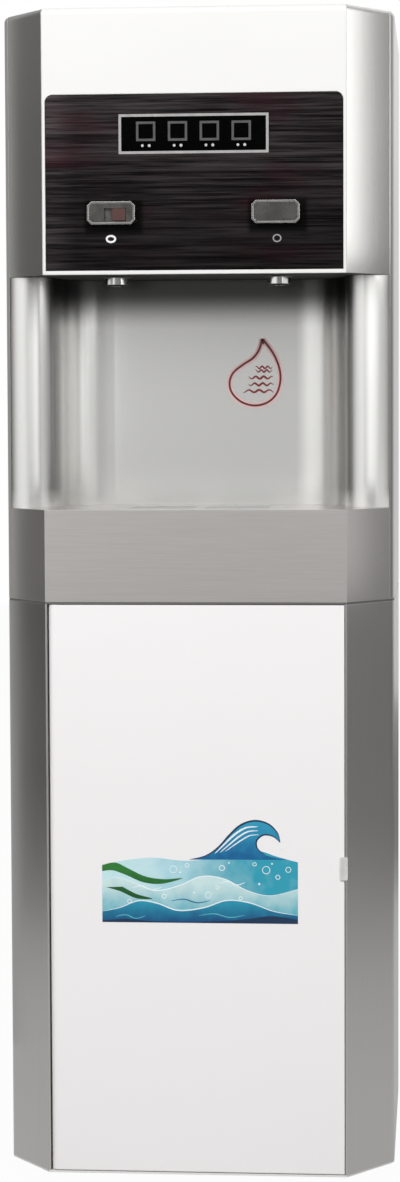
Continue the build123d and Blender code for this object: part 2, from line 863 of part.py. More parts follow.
# Drip tray: a basin hung in the shelf by its flange
tray_bowl_width = tray_width - 2 * fit_gap
tray_bowl_length = tray_length - 2 * fit_gap
with BuildPart() as drip_tray:
    with BuildSketch(Plane.XY.offset(shelf_z - tray_height)):
        with Locations((0, tray_centre_y)):
            RectangleRounded(tray_bowl_width, tray_bowl_length, tray_corner - fit_gap)
    extrude(amount=tray_height)
    with BuildSketch(Plane.XY.offset(shelf_z - tray_flange_thickness)):
        with Locations((0, tray_centre_y)):
            RectangleRounded(
                tray_width + 2 * tray_flange - 2 * fit_gap,
                tray_length + 2 * tray_flange - 2 * fit_gap,
                tray_corner + tray_flange - fit_gap,
            )
    extrude(amount=tray_flange_thickness)
    inner_width = tray_bowl_width - 2 * tray_wall
    inner_length = tray_bowl_length - 2 * tray_wall
    inner_corner = tray_corner - tray_wall
    with BuildSketch(Plane.XY.offset(shelf_z)):
        with Locations((0, tray_centre_y)):
            RectangleRounded(inner_width, inner_length, inner_corner)
    extrude(amount=-(grille_thickness + fit_gap), mode=Mode.SUBTRACT)
    with BuildSketch(Plane.XY.offset(shelf_z)):
        with Locations((0, tray_centre_y)):
            RectangleRounded(
                inner_width - 2 * tray_ledge,
                inner_length - 2 * tray_ledge,
                inner_corner - tray_ledge,
            )
    extrude(amount=-(tray_height - tray_wall), mode=Mode.SUBTRACT)
drip_tray.part.label = "drip_tray"
export_step(drip_tray.part, "parts/drip_tray.step")

# Drip grille: a slotted plate that lies on the tray's ledge
slot_pitch = (inner_length - 2 * grille_margin) / grille_rows
slot_length = (inner_width - 2 * grille_margin - grille_bridge) / 2
with BuildPart() as drip_grille:
    with BuildSketch(Plane.XY.offset(shelf_z - grille_thickness)):
        with Locations((0, tray_centre_y)):
            RectangleRounded(
                inner_width - 2 * fit_gap, inner_length - 2 * fit_gap, inner_corner - fit_gap
            )
            with GridLocations(slot_length + grille_bridge, slot_pitch, 2, grille_rows):
                SlotOverall(slot_length, grille_slot_width, mode=Mode.SUBTRACT)
    extrude(amount=grille_thickness)
drip_grille.part.label = "drip_grille"
export_step(drip_grille.part, "parts/drip_grille.step")

# Rear panel: one flat sheet with vents, between the side panels' flanges
rear_half = half_width - rear_radius - fit_gap
cooling_z = seam_z + cooling_rise
drain_z = seam_z + drain_rise
mains_z = base_z + mains_rise
inlet_z = base_z + inlet_rise
rocker_z = shelf_z + rocker_rise
inlet_x = -(half_width - inlet_inset)
rocker_x = (rocker_inset - half_width, rocker_inset + rocker_pitch - half_width)
vent_width = 74.0
vent_height = 3.2
vent_pitch = 8.0
mains_body = (30.0, 22.0)
rocker_body = (rocker_width + 4.0, rocker_length + 4.0)
panel_top_z = lid_flange_z
with BuildPart() as rear_panel:
    with BuildSketch(Plane.XZ.offset(-(rear_panel_y + sheet))):
        with Locations((0, (floor_z + panel_top_z) / 2)):
            Rectangle(2 * rear_half, panel_top_z - floor_z)
        with Locations((cold_x, cooling_z)):
            with GridLocations(0, vent_pitch, 1, 10):
                SlotOverall(vent_width, vent_height, mode=Mode.SUBTRACT)
        with Locations((0, base_z + 0.6 * cabinet_height)):
            with GridLocations(vent_width + 12, vent_pitch, 2, 8):
                SlotOverall(vent_width, vent_height, mode=Mode.SUBTRACT)
        with Locations((hot_x, drain_z)):
            Circle(drain_radius + 0.5, mode=Mode.SUBTRACT)
        with Locations((inlet_x, inlet_z)):
            Circle(inlet_radius - 1.7, mode=Mode.SUBTRACT)
        with Locations((mains_x, mains_z)):
            Rectangle(mains_body[0] + 0.4, mains_body[1] + 0.4, mode=Mode.SUBTRACT)
        with Locations(*[(x, rocker_z) for x in rocker_x]):
            Rectangle(rocker_body[0] + 0.4, rocker_body[1] + 0.4, mode=Mode.SUBTRACT)
    extrude(amount=sheet)
rear_panel.part.label = "rear_panel"
export_step(rear_panel.part, "parts/rear_panel.step")

# Top cover: a flat lid let in between the walls, behind the front plate
with BuildPart() as top_cover:
    with BuildSketch(Plane.XY.offset(lid_flange_z)):
        add(casing_plan(shell_wall + fit_gap))
        cut_box(-beyond, beyond, -beyond, depth_y(seat_depth + shell_wall + fit_gap))
    extrude(amount=top_z - lid_flange_z)
    chamfer(top_cover.faces().sort_by(Axis.Z)[-1].edges().sort_by(Axis.Y)[0], 0.6)
    add(casing_solid, mode=Mode.INTERSECT)
top_cover.part.label = "top_cover"
export_step(top_cover.part, "parts/top_cover.step")

# Door: a white shell whose hinge edge is rounded about the pins
door_half = door_frame_x - door_gap
door_low = floor_z + door_clear_bottom
door_high = deck_z - door_clear_top


def door_plan(inset, rear_depth):
    """Plan of the door, round about the pins at its front left corner."""
    with BuildSketch() as plan:
        with Locations((-door_half + inset, depth_y(inset))):
            Rectangle(
                2 * (door_half - inset),
                rear_depth - inset,
                align=(Align.MIN, Align.MIN),
            )
        corner = plan.vertices().group_by(Axis.Y)[0].sort_by(Axis.X)[0]
        fillet(corner, door_edge_radius - inset - 0.01)
    return plan.sketch


boss_centres = [
    (hinge_x, hinge_y, door_low + door_boss_height / 2),
    (hinge_x, hinge_y, door_high - door_boss_height / 2),
]
with BuildPart() as door_panel:
    with BuildSketch(Plane.XY.offset(door_low)):
        add(door_plan(0, door_shell_depth))
    extrude(amount=door_high - door_low)
    with BuildSketch(Plane.XY.offset(door_low + shell_wall)):
        with Locations((-door_half + shell_wall, depth_y(shell_wall))):
            Rectangle(
                2 * (door_half - shell_wall),
                door_shell_depth,
                align=(Align.MIN, Align.MIN),
            )
        add(door_plan(shell_wall, 2 * door_shell_depth), mode=Mode.INTERSECT)
    extrude(amount=door_high - door_low - 2 * shell_wall, mode=Mode.SUBTRACT)
    with BuildSketch(Plane.XY.offset(door_low)):
        with Locations((-door_half, front_y)):
            Rectangle(door_boss_size, door_shell_depth, align=(Align.MIN, Align.MIN))
        add(door_plan(0, door_shell_depth), mode=Mode.INTERSECT)
    extrude(amount=door_boss_height)
    with BuildSketch(Plane.XY.offset(door_high - door_boss_height)):
        with Locations((-door_half, front_y)):
            Rectangle(door_boss_size, door_shell_depth, align=(Align.MIN, Align.MIN))
        add(door_plan(0, door_shell_depth), mode=Mode.INTERSECT)
    extrude(amount=door_boss_height)
    with BuildSketch(Plane.XY.offset(door_low)):
        with Locations((hinge_x, hinge_y)):
            Circle(pin_radius + pin_clearance)
    extrude(amount=pin_reach + 1, mode=Mode.SUBTRACT)
    with BuildSketch(Plane.XY.offset(door_high)):
        with Locations((hinge_x, hinge_y)):
            Circle(pin_radius + pin_clearance)
    extrude(amount=-(pin_reach + 1), mode=Mode.SUBTRACT)
door_panel.part.label = "door_panel"
export_step(door_panel.part, "parts/door_panel.step")

# Door inner panel: a steel sheet that closes the back of the door
with BuildPart() as door_inner:
    with BuildSketch(front_plane(door_shell_depth)):
        with Locations((0, (door_low + door_high) / 2)):
            Rectangle(2 * door_half - 2, door_high - door_low - 2)
    extrude(amount=-door_inner_thickness)
door_inner.part.label = "door_inner"
export_step(door_inner.part, "parts/door_inner.step")

# Finger pull: a clear tab on the door that stands over the frame's edge
pull_z = base_z + pull_centre_height
pull_right = door_half + pull_overhang
with BuildPart() as door_pull:
    with BuildSketch(front_plane(-pull_lift)):
        with Locations((pull_right - pull_width / 2, pull_z)):
            RectangleRounded(pull_width, pull_height, 1.2)
    extrude(amount=pull_thickness)
    with BuildSketch(front_plane(0)):
        with Locations((door_half - fit_gap - pull_seat_width / 2, pull_z)):
            Rectangle(pull_seat_width, pull_height - 3)
    extrude(amount=pull_lift + 0.2)
door_pull.part.label = "door_pull"
export_step(door_pull.part, "parts/door_pull.step")

# Hinge pins: the upper one drops through the deck, the lower one stands on the floor
with BuildPart() as hinge_pins:
    with BuildSketch(Plane.XY.offset(floor_z)):
        with Locations((hinge_x, hinge_y)):
            Circle(pin_radius)
    extrude(amount=door_clear_bottom + pin_reach)
    with BuildSketch(Plane.XY.offset(floor_z)):
        with Locations((hinge_x, hinge_y)):
            Circle(pin_head_radius)
    extrude(amount=door_clear_bottom - fit_gap)
    with BuildSketch(Plane.XY.offset(door_high - pin_reach)):
        with Locations((hinge_x, hinge_y)):
            Circle(pin_radius)
    extrude(amount=seam_z - door_high + pin_reach)
    with BuildSketch(Plane.XY.offset(seam_z)):
        with Locations((hinge_x, hinge_y)):
            Circle(pin_head_radius)
    extrude(amount=pin_head_height)
hinge_pins.part.label = "hinge_pins"
export_step(hinge_pins.part, "parts/hinge_pins.step")

# Magnetic catch on the frame's return, just behind the closed door
catch_front = door_shell_depth + door_inner_thickness + fit_gap
with BuildPart() as magnet_catch:
    with BuildSketch(front_plane(catch_front)):
        with Locations((door_frame_x - catch_width / 2, pull_z)):
            RectangleRounded(catch_width, catch_height, 1.5)
    extrude(amount=-catch_depth)
magnet_catch.part.label = "magnet_catch"
export_step(magnet_catch.part, "parts/magnet_catch.step")

# Hot tank: steel vessel with an outlet stub on top and a drain spigot to the rear
hot_y = depth_y(hot_depth)
hot_low = seam_z + jacket_floor
hot_high = hot_low + hot_height
drain_end_y = rear_y + rear_proud - drain_cap_wall - fit_gap
hot_stub_z = hot_high + hot_jacket_wall + 4.0
with BuildPart() as hot_tank:
    with BuildSketch(Plane.XY.offset(hot_low)):
        with Locations((hot_x, hot_y)):
            Circle(hot_radius - heater_wall - fit_gap)
    extrude(amount=hot_height)
    fillet(hot_tank.edges().filter_by(GeomType.CIRCLE), 1)
    with BuildSketch(Plane.XY.offset(hot_high - tank_wall)):
        with Locations((hot_x, hot_y)):
            Circle(stub_radius)
    extrude(amount=hot_stub_z - hot_high + tank_wall)
    with BuildSketch(Plane.XZ.offset(-drain_end_y)):
        with Locations((hot_x, drain_z)):
            Circle(drain_radius)
    extrude(amount=drain_end_y - hot_y - hot_radius / 2)
    with BuildSketch(Plane.XY.offset(hot_low + tank_wall)):
        with Locations((hot_x, hot_y)):
            Circle(hot_radius - heater_wall - fit_gap - tank_wall)
    extrude(amount=hot_height - 2 * tank_wall, mode=Mode.SUBTRACT)
    with BuildSketch(Plane.XY.offset(hot_stub_z)):
        with Locations((hot_x, hot_y)):
            Circle(stub_bore)
    extrude(amount=-(hot_stub_z - hot_high + 2 * tank_wall), mode=Mode.SUBTRACT)
    with BuildSketch(Plane.XZ.offset(-drain_end_y)):
        with Locations((hot_x, drain_z)):
            Circle(drain_radius - tank_wall)
    extrude(amount=drain_end_y - hot_y - hot_radius / 2, mode=Mode.SUBTRACT)
hot_tank.part.label = "hot_tank"
export_step(hot_tank.part, "parts/hot_tank.step")

# Heater band round the lower part of the hot tank, above its drain
heater_z = drain_z + drain_radius + 8.0
with BuildPart() as heater_band:
    with BuildSketch(Plane.XY.offset(heater_z)):
        with Locations((hot_x, hot_y)):
            Circle(hot_radius - fit_gap)
            Circle(hot_radius - heater_wall, mode=Mode.SUBTRACT)
    extrude(amount=heater_height)
heater_band.part.label = "heater_band"
export_step(heater_band.part, "parts/heater_band.step")

# Foam jacket round the hot tank, a cup and its lid
with BuildPart() as hot_tank_jacket:
    with BuildSketch(Plane.XY.offset(seam_z)):
        with Locations((hot_x, hot_y)):
            Circle(hot_jacket_radius)
    extrude(amount=jacket_floor + hot_height)
    with BuildSketch(Plane.XY.offset(hot_low)):
        with Locations((hot_x, hot_y)):
            Circle(hot_radius)
    extrude(amount=hot_height, mode=Mode.SUBTRACT)
    with BuildSketch(Plane.XY.offset(hot_high + fit_gap)):
        with Locations((hot_x, hot_y)):
            Circle(hot_jacket_radius)
            Circle(stub_radius + fit_gap, mode=Mode.SUBTRACT)
    extrude(amount=hot_jacket_wall - fit_gap)
    with BuildSketch(Plane.XZ.offset(-(hot_y + hot_radius + 2 * hot_jacket_wall))):
        with Locations((hot_x, drain_z)):
            Circle(drain_radius + fit_gap)
    extrude(amount=3 * hot_jacket_wall, mode=Mode.SUBTRACT)
hot_tank_jacket.part.label = "hot_tank_jacket"
export_step(hot_tank_jacket.part, "parts/hot_tank_jacket.step")

# Drain cap: a rubber cup pushed over the drain spigot
cap_mouth_y = rear_y + fit_gap
with BuildPart() as drain_cap:
    with BuildSketch(Plane.XZ.offset(-(rear_y + rear_proud))):
        with Locations((hot_x, drain_z)):
            Circle(drain_radius + drain_cap_wall + fit_gap)
    extrude(amount=rear_proud - fit_gap)
    with BuildSketch(Plane.XZ.offset(-(drain_end_y + fit_gap))):
        with Locations((hot_x, drain_z)):
            Circle(drain_radius + fit_gap)
    extrude(amount=rear_proud, mode=Mode.SUBTRACT)
drain_cap.part.label = "drain_cap"
export_step(drain_cap.part, "parts/drain_cap.step")

# Cold tank: open vessel with a flat pad for cooling and an outlet stub near its bottom
cold_y = depth_y(cold_depth)
cold_low = seam_z + jacket_floor
cold_high = cold_low + cold_height
cold_out_z = cold_low + 22.0
cold_stub_x = cold_x - cold_jacket_radius - 3.0
with BuildPart() as cold_tank:
    with BuildSketch(Plane.XY.offset(cold_low)):
        with Locations((cold_x, cold_y)):
            Circle(cold_radius)
    extrude(amount=cold_height)
    with BuildSketch(front_plane(pad_depth)):
        with Locations((cold_x, cooling_z)):
            Rectangle(pad_size, pad_size)
    extrude(amount=pad_depth - cold_depth)
    with BuildSketch(Plane.YZ.offset(cold_stub_x)):
        with Locations((cold_y, cold_out_z)):
            Circle(stub_radius)
    extrude(amount=cold_x - cold_stub_x)
    with BuildSketch(Plane.XY.offset(cold_low + tank_wall)):
        with Locations((cold_x, cold_y)):
            Circle(cold_radius - tank_wall)
    extrude(amount=cold_height, mode=Mode.SUBTRACT)
    with BuildSketch(Plane.YZ.offset(cold_stub_x)):
        with Locations((cold_y, cold_out_z)):
            Circle(stub_bore)
    extrude(amount=cold_x - cold_stub_x, mode=Mode.SUBTRACT)
cold_tank.part.label = "cold_tank"
export_step(cold_tank.part, "parts/cold_tank.step")

# Foam jacket round the cold tank, cut away for the cooling pad
with BuildPart() as cold_tank_jacket:
    with BuildSketch(Plane.XY.offset(seam_z)):
        with Locations((cold_x, cold_y)):
            Circle(cold_jacket_radius)
    extrude(amount=jacket_floor + cold_height)
    with BuildSketch(Plane.XY.offset(cold_low)):
        with Locations((cold_x, cold_y)):
            Circle(cold_radius + fit_gap)
    extrude(amount=cold_height, mode=Mode.SUBTRACT)
    with BuildSketch(front_plane(pad_depth + cold_jacket_wall)):
        with Locations((cold_x, cooling_z)):
            Rectangle(pad_size + 2 * fit_gap, pad_size + 2 * fit_gap)
    extrude(amount=pad_depth + cold_jacket_wall - cold_depth, mode=Mode.SUBTRACT)
    with BuildSketch(Plane.YZ.offset(cold_stub_x - 1)):
        with Locations((cold_y, cold_out_z)):
            Circle(stub_radius + fit_gap)
    extrude(amount=cold_jacket_wall * 2, mode=Mode.SUBTRACT)
cold_tank_jacket.part.label = "cold_tank_jacket"
export_step(cold_tank_jacket.part, "parts/cold_tank_jacket.step")

# Cold tank lid with the hole for the float valve's stem
float_x = cold_x
float_y = cold_y + float_offset
with BuildPart() as cold_tank_lid:
    with BuildSketch(Plane.XY.offset(cold_high)):
        with Locations((cold_x, cold_y)):
            Circle(cold_jacket_radius - 2)
        with Locations((float_x, float_y)):
            Circle(valve_stem + fit_gap, mode=Mode.SUBTRACT)
    extrude(amount=lid_thickness)
cold_tank_lid.part.label = "cold_tank_lid"
export_step(cold_tank_lid.part, "parts/cold_tank_lid.step")

# Float valve: a stem through the lid with a cheek at each side of the arm's pin
float_body_size = 18.0
float_slot = 8.0
float_low = cold_high - float_body_height
float_pin_z = float_low + 6.0
float_pin_y = float_y - float_body_size / 2 - 3.0
stem_top_z = cold_high + lid_thickness + 14.0
with BuildPart() as float_valve:
    with BuildSketch(Plane.XY.offset(float_low)):
        with Locations((float_x, float_y)):
            Rectangle(float_body_size, float_body_size)
    extrude(amount=float_body_height)
    with BuildSketch(Plane.XY.offset(cold_high)):
        with Locations((float_x, float_y)):
            Circle(valve_stem)
    extrude(amount=lid_thickness + 8)
    with BuildSketch(Plane.XY.offset(cold_high)):
        with Locations((float_x, float_y)):
            Circle(tube_radius)
    extrude(amount=stem_top_z - cold_high)
    with BuildSketch(Plane.YZ.offset(float_x - float_body_size / 2)):
        with Locations((float_pin_y, float_pin_z)):
            Rectangle(10, 9)
    extrude(amount=float_body_size)
    with BuildSketch(Plane.YZ.offset(float_x - float_slot / 2)):
        with Locations((float_pin_y - 1.0, float_pin_z)):
            Rectangle(11, 2 * float_body_size)
    extrude(amount=float_slot, mode=Mode.SUBTRACT)
    with BuildSketch(Plane.YZ.offset(float_x - float_body_size / 2)):
        with Locations((float_pin_y, float_pin_z)):
            Circle(float_pin_radius)
    extrude(amount=float_body_size)
float_valve.part.label = "float_valve"
export_step(float_valve.part, "parts/float_valve.step")

# Float arm: an eye on the pin, a rod and a ball
float_arm_length = cold_radius - float_arm_margin
ball_y = float_pin_y - float_arm_length
with BuildPart() as float_arm:
    with BuildSketch(Plane.YZ.offset(float_x - float_slot / 2 + 1)):
        with Locations((float_pin_y, float_pin_z)):
            Circle(float_eye_radius)
    extrude(amount=float_slot - 2)
    with BuildSketch(Plane.XZ.offset(-float_pin_y)):
        with Locations((float_x, float_pin_z)):
            Circle(1.5)
    extrude(amount=float_arm_length)
    with Locations((float_x, ball_y, float_pin_z)):
        Sphere(float_ball_radius)
    with BuildSketch(Plane.YZ.offset(float_x - float_slot)):
        with Locations((float_pin_y, float_pin_z)):
            Circle(float_pin_radius + pin_clearance)
    extrude(amount=2 * float_slot, mode=Mode.SUBTRACT)
float_arm.part.label = "float_arm"
export_step(float_arm.part, "parts/float_arm.step")

# Thermoelectric module, clamped between the tank's pad and the heat sink
with BuildPart() as thermoelectric_module:
    with BuildSketch(front_plane(pad_depth)):
        with Locations((cold_x, cooling_z)):
            Rectangle(module_size, module_size)
    extrude(amount=-module_thickness)
thermoelectric_module.part.label = "thermoelectric_module"
export_step(thermoelectric_module.part, "parts/thermoelectric_module.step")

# Heat sink: a base plate with upright fins
sink_depth = pad_depth + module_thickness
with BuildPart() as heat_sink:
    with BuildSketch(front_plane(sink_depth)):
        with Locations((cold_x, cooling_z)):
            Rectangle(sink_width, sink_height)
    extrude(amount=-sink_base)
    with BuildSketch(front_plane(sink_depth + sink_base)):
        with Locations((cold_x, cooling_z)):
            with GridLocations((sink_width - sink_fin_thickness) / (sink_fins - 1), 0, sink_fins, 1):
                Rectangle(sink_fin_thickness, sink_height)
    extrude(amount=-sink_fin_length)
heat_sink.part.label = "heat_sink"
export_step(heat_sink.part, "parts/heat_sink.step")

# Fan frame: square housing with a round bore and struts that carry the motor
fan_front = sink_depth + sink_base + sink_fin_length
fan_rear = fan_front + fan_depth
with BuildPart() as fan_frame:
    with BuildSketch(front_plane(fan_front)):
        with Locations((cold_x, cooling_z)):
            RectangleRounded(fan_size, fan_size, fan_corner)
            Circle(fan_bore, mode=Mode.SUBTRACT)
    extrude(amount=-fan_depth)
    with BuildSketch(front_plane(fan_rear)):
        with Locations((cold_x, cooling_z)):
            Circle(motor_radius)
            Rectangle(2 * fan_bore + 1, strut_width)
            Rectangle(strut_width, 2 * fan_bore + 1)
    extrude(amount=strut_thickness)
    with BuildSketch(front_plane(fan_rear)):
        with Locations((cold_x, cooling_z)):
            Circle(pin_radius)
    extrude(amount=fan_depth - 3)
fan_frame.part.label = "fan_frame"
export_step(fan_frame.part, "parts/fan_frame.step")

# Fan rotor: a hub with seven pitched blades
rotor_depth = fan_depth - strut_thickness - 3.0
rotor_front = fan_front + 1.5
rotor_middle = rotor_front + rotor_depth / 2
with BuildPart() as fan_rotor:
    with BuildSketch(front_plane(rotor_front)):
        with Locations((cold_x, cooling_z)):
            Circle(hub_radius)
    extrude(amount=-rotor_depth)
    for i in range(blade_count):
        turn = 360.0 * i / blade_count
        blade_plane = Plane(
            origin=(cold_x, depth_y(rotor_middle), cooling_z),
            x_dir=(0, 1, 0),
            z_dir=(math.cos(math.radians(turn)), 0, math.sin(math.radians(turn))),
        )
        with BuildSketch(blade_plane.offset(hub_radius - 3)):
            Rectangle(rotor_depth * 1.05, blade_thickness, rotation=blade_angle)
        extrude(amount=blade_tip - hub_radius + 3)
    with BuildSketch(front_plane(rotor_front)):
        with Locations((cold_x, cooling_z)):
            Circle(pin_radius + pin_clearance)
    extrude(amount=-fan_depth, mode=Mode.SUBTRACT)
    with BuildSketch(front_plane(rotor_front)):
        with Locations((cold_x, cooling_z)):
            Circle(blade_tip)
    extrude(amount=-rotor_depth, mode=Mode.INTERSECT)
fan_rotor.part.label = "fan_rotor"
export_step(fan_rotor.part, "parts/fan_rotor.step")

# Filter bracket: a manifold hung from the deck with three twist-lock sockets
manifold_z = deck_z - manifold_height
filter_y = depth_y(cartridge_depth)
filter_x = (-cartridge_pitch, 0, cartridge_pitch)
with BuildPart() as filter_bracket:
    with BuildSketch(Plane.XY.offset(manifold_z)) as manifold:
        with Locations((0, filter_y)):
            RectangleRounded(manifold_length, manifold_width, 6)
    extrude(amount=manifold_height - 3)
    with BuildSketch(Plane.XY.offset(deck_z - 3)):
        with Locations((0, filter_y)):
            RectangleRounded(manifold_length + 24, manifold_width, 6)
    extrude(amount=3)
    with BuildSketch(Plane.XY.offset(manifold_z)):
        with Locations(*[(x, filter_y) for x in filter_x]):
            Circle(socket_radius)
    extrude(amount=socket_depth, mode=Mode.SUBTRACT)
filter_bracket.part.label = "filter_bracket"
export_step(filter_bracket.part, "parts/filter_bracket.step")

# Filter cartridges: round housings with a neck above and a grip cap below
cartridge_top = manifold_z - shoulder_gap
neck_top = manifold_z + socket_depth - fit_gap
cap_height = 26.0
cap_ribs = 12
for name, x in zip(("sediment_cartridge", "carbon_cartridge", "membrane_cartridge"), filter_x):
    low = cartridge_top - cartridge_length
    with BuildPart() as cartridge:
        with BuildSketch(Plane.XZ.offset(-filter_y)):
            with BuildLine():
                Polyline(
                    (x, low),
                    (x + cartridge_radius - 4, low),
                    (x + cartridge_radius, low + 4),
                    (x + cartridge_radius, low + cap_height),
                    (x + cartridge_radius - 1.5, low + cap_height + 1),
                    (x + cartridge_radius - 1.5, cartridge_top - 8),
                    (x + cartridge_radius - 8, cartridge_top),
                    (x + cartridge_neck, cartridge_top),
                    (x + cartridge_neck, neck_top),
                    (x, neck_top),
                    close=True,
                )
            make_face()
        revolve(axis=Axis((x, filter_y, 0), (0, 0, 1)))
        with BuildSketch(Plane.XY.offset(low)):
            with Locations((x, filter_y)):
                with PolarLocations(cartridge_radius, cap_ribs):
                    Circle(2)
        extrude(amount=cap_height - 3, mode=Mode.SUBTRACT)
    cartridge.part.label = name
    export_step(cartridge.part, f"parts/{name}.step")

# Power supply: a closed box on the right side panel
supply_centre = (
    inner_x - supply_size[0] / 2,
    rear_panel_y - supply_rear_gap - supply_size[1] / 2,
    base_z + supply_rise,
)
with BuildPart() as power_supply:
    with Locations(supply_centre):
        Box(*supply_size)
    fillet(power_supply.edges().filter_by(Axis.Z), 3)
power_supply.part.label = "power_supply"
export_step(power_supply.part, "parts/power_supply.step")

# Water inlet: bulkhead fitting with a push-in bore towards the rear
inlet_inner_y = rear_panel_y - 14.0
inlet_outer_y = rear_y + rear_proud
with BuildPart() as water_inlet:
    with BuildSketch(Plane.XZ.offset(-inlet_outer_y)):
        with Locations((inlet_x, inlet_z)):
            Circle(inlet_radius - 2)
    extrude(amount=inlet_outer_y - inlet_inner_y)
    with BuildSketch(Plane.XZ.offset(-(rear_y + 3.5))):
        with Locations((inlet_x, inlet_z)):
            RegularPolygon(inlet_nut, 6)
    extrude(amount=rear_y + 3.5 - rear_panel_y - sheet)
    with BuildSketch(Plane.XZ.offset(-rear_panel_y)):
        with Locations((inlet_x, inlet_z)):
            Circle(inlet_nut)
    extrude(amount=4)
    with BuildSketch(Plane.XZ.offset(-inlet_outer_y)):
        with Locations((inlet_x, inlet_z)):
            Circle(inlet_bore)
    extrude(amount=inlet_bore_length, mode=Mode.SUBTRACT)
water_inlet.part.label = "water_inlet"
export_step(water_inlet.part, "parts/water_inlet.step")

# Mains inlet: a recessed socket with three blades
mains_flange = (48.0, 26.0)
mains_wall = 2.5
mains_inner_depth = 17.0
blade_size = (4.0, 2.0)
with BuildPart() as power_inlet:
    with BuildSketch(Plane.XZ.offset(-rear_y)):
        with Locations((mains_x, mains_z)):
            RectangleRounded(*mains_flange, 3)
    extrude(amount=sheet)
    with BuildSketch(Plane.XZ.offset(-rear_y)):
        with Locations((mains_x, mains_z)):
            Rectangle(*mains_body)
    extrude(amount=mains_inner_depth + mains_wall)
    with BuildSketch(Plane.XZ.offset(-rear_y)) as mouth:
        with Locations((mains_x, mains_z)):
            Rectangle(mains_body[0] - 2 * mains_wall, mains_body[1] - 2 * mains_wall)
        chamfer(mouth.vertices().group_by(Axis.Y)[-1], 4)
    extrude(amount=mains_inner_depth, mode=Mode.SUBTRACT)
    with BuildSketch(Plane.XZ.offset(-(rear_y - mains_inner_depth))):
        with Locations(
            (mains_x - 7, mains_z - 2), (mains_x + 7, mains_z - 2), (mains_x, mains_z + 2)
        ):
            Rectangle(blade_size[1], blade_size[0])
    extrude(amount=-(mains_inner_depth - 5))
power_inlet.part.label = "power_inlet"
export_step(power_inlet.part, "parts/power_inlet.step")

# Rocker switches: two housings in the rear panel, each with a tipping rocker
rocker_radius = rocker_length / 2
rocker_pivot_y = rear_y - 3.0
housing_rear_y = rocker_pivot_y - rocker_radius - 3.0
with BuildPart() as switch_housings:
    with BuildSketch(Plane.XZ.offset(-rear_y)):
        with Locations(*[(x, rocker_z) for x in rocker_x]):
            RectangleRounded(rocker_body[0] + 4, rocker_body[1] + 4, 1.5)
    extrude(amount=sheet)
    with BuildSketch(Plane.XZ.offset(-rear_y)):
        with Locations(*[(x, rocker_z) for x in rocker_x]):
            Rectangle(*rocker_body)
    extrude(amount=rear_y - housing_rear_y)
    with BuildSketch(Plane.XZ.offset(-rear_y)):
        with Locations(*[(x, rocker_z) for x in rocker_x]):
            Rectangle(rocker_width + 2 * fit_gap, rocker_length + 2 * fit_gap)
    extrude(amount=rear_y - housing_rear_y - 2, mode=Mode.SUBTRACT)
    for x in rocker_x:
        with BuildSketch(Plane.YZ.offset(x - rocker_body[0] / 2)):
            with Locations((rocker_pivot_y, rocker_z)):
                Circle(float_pin_radius)
        extrude(amount=rocker_body[0])
switch_housings.part.label = "switch_housings"
export_step(switch_housings.part, "parts/switch_housings.step")

tilt = math.tan(math.radians(rocker_tilt))
rocker_face = 2.6
for name, x in zip(("heat_switch", "cool_switch"), rocker_x):
    rocker_plane = Plane(
        origin=(x - rocker_width / 2, rocker_pivot_y, rocker_z),
        x_dir=(0, math.cos(math.radians(rocker_tilt)), math.sin(math.radians(rocker_tilt))),
        z_dir=(1, 0, 0),
    )
    with BuildPart() as rocker:
        with BuildSketch(rocker_plane):
            Circle(rocker_radius)
            with BuildLine():
                Polyline(
                    (rocker_face, 0),
                    (rocker_face + 2 * rocker_radius * tilt, 2 * rocker_radius),
                    (4 * rocker_radius, 2 * rocker_radius),
                    (4 * rocker_radius, -2 * rocker_radius),
                    (rocker_face + 2 * rocker_radius * tilt, -2 * rocker_radius),
                    close=True,
                )
            make_face(mode=Mode.SUBTRACT)
            Circle(float_pin_radius + pin_clearance, mode=Mode.SUBTRACT)
        extrude(amount=rocker_width)
    rocker.part.label = name
    export_step(rocker.part, f"parts/{name}.step")


def tube(points, radii, radius):
    """Path of straight runs and tangent arcs, and the tube's end section on it."""
    with BuildLine() as route:
        FilletPolyline(*points, radius=radii)
    start = route.wires()[0]
    with BuildPart() as pipe:
        with BuildSketch(Plane(start @ 0, z_dir=start % 0)):
            Circle(radius)
        sweep(path=start)
    return pipe.part


# Supply tube: rear inlet, forward, up the left side, and into the filter manifold
riser_left_x = riser_left_inset - half_width
port_level = manifold_z + manifold_height - 14.0
manifold_end = manifold_length / 2
turn_y = rear_panel_y - inlet_run
supply_points = [
    (inlet_x, inlet_inner_y, inlet_z),
    (inlet_x, turn_y, inlet_z),
    (riser_left_x, turn_y - supply_bend, inlet_z + supply_low_rise),
    (riser_left_x, turn_y - supply_bend - supply_climb, inlet_z + supply_mid_rise),
    (riser_left_x, depth_y(supply_front_depth), port_level - supply_drop),
    (riser_left_x, depth_y(supply_turn_depth), port_level),
    (-manifold_end - supply_stub_run, filter_y, port_level),
    (-manifold_end, filter_y, port_level),
]
supply_part = tube(supply_points, supply_bends, tube_radius)
with BuildPart() as supply_tube:
    add(supply_part)
supply_tube.part.label = "supply_tube"
export_step(supply_tube.part, "parts/supply_tube.step")

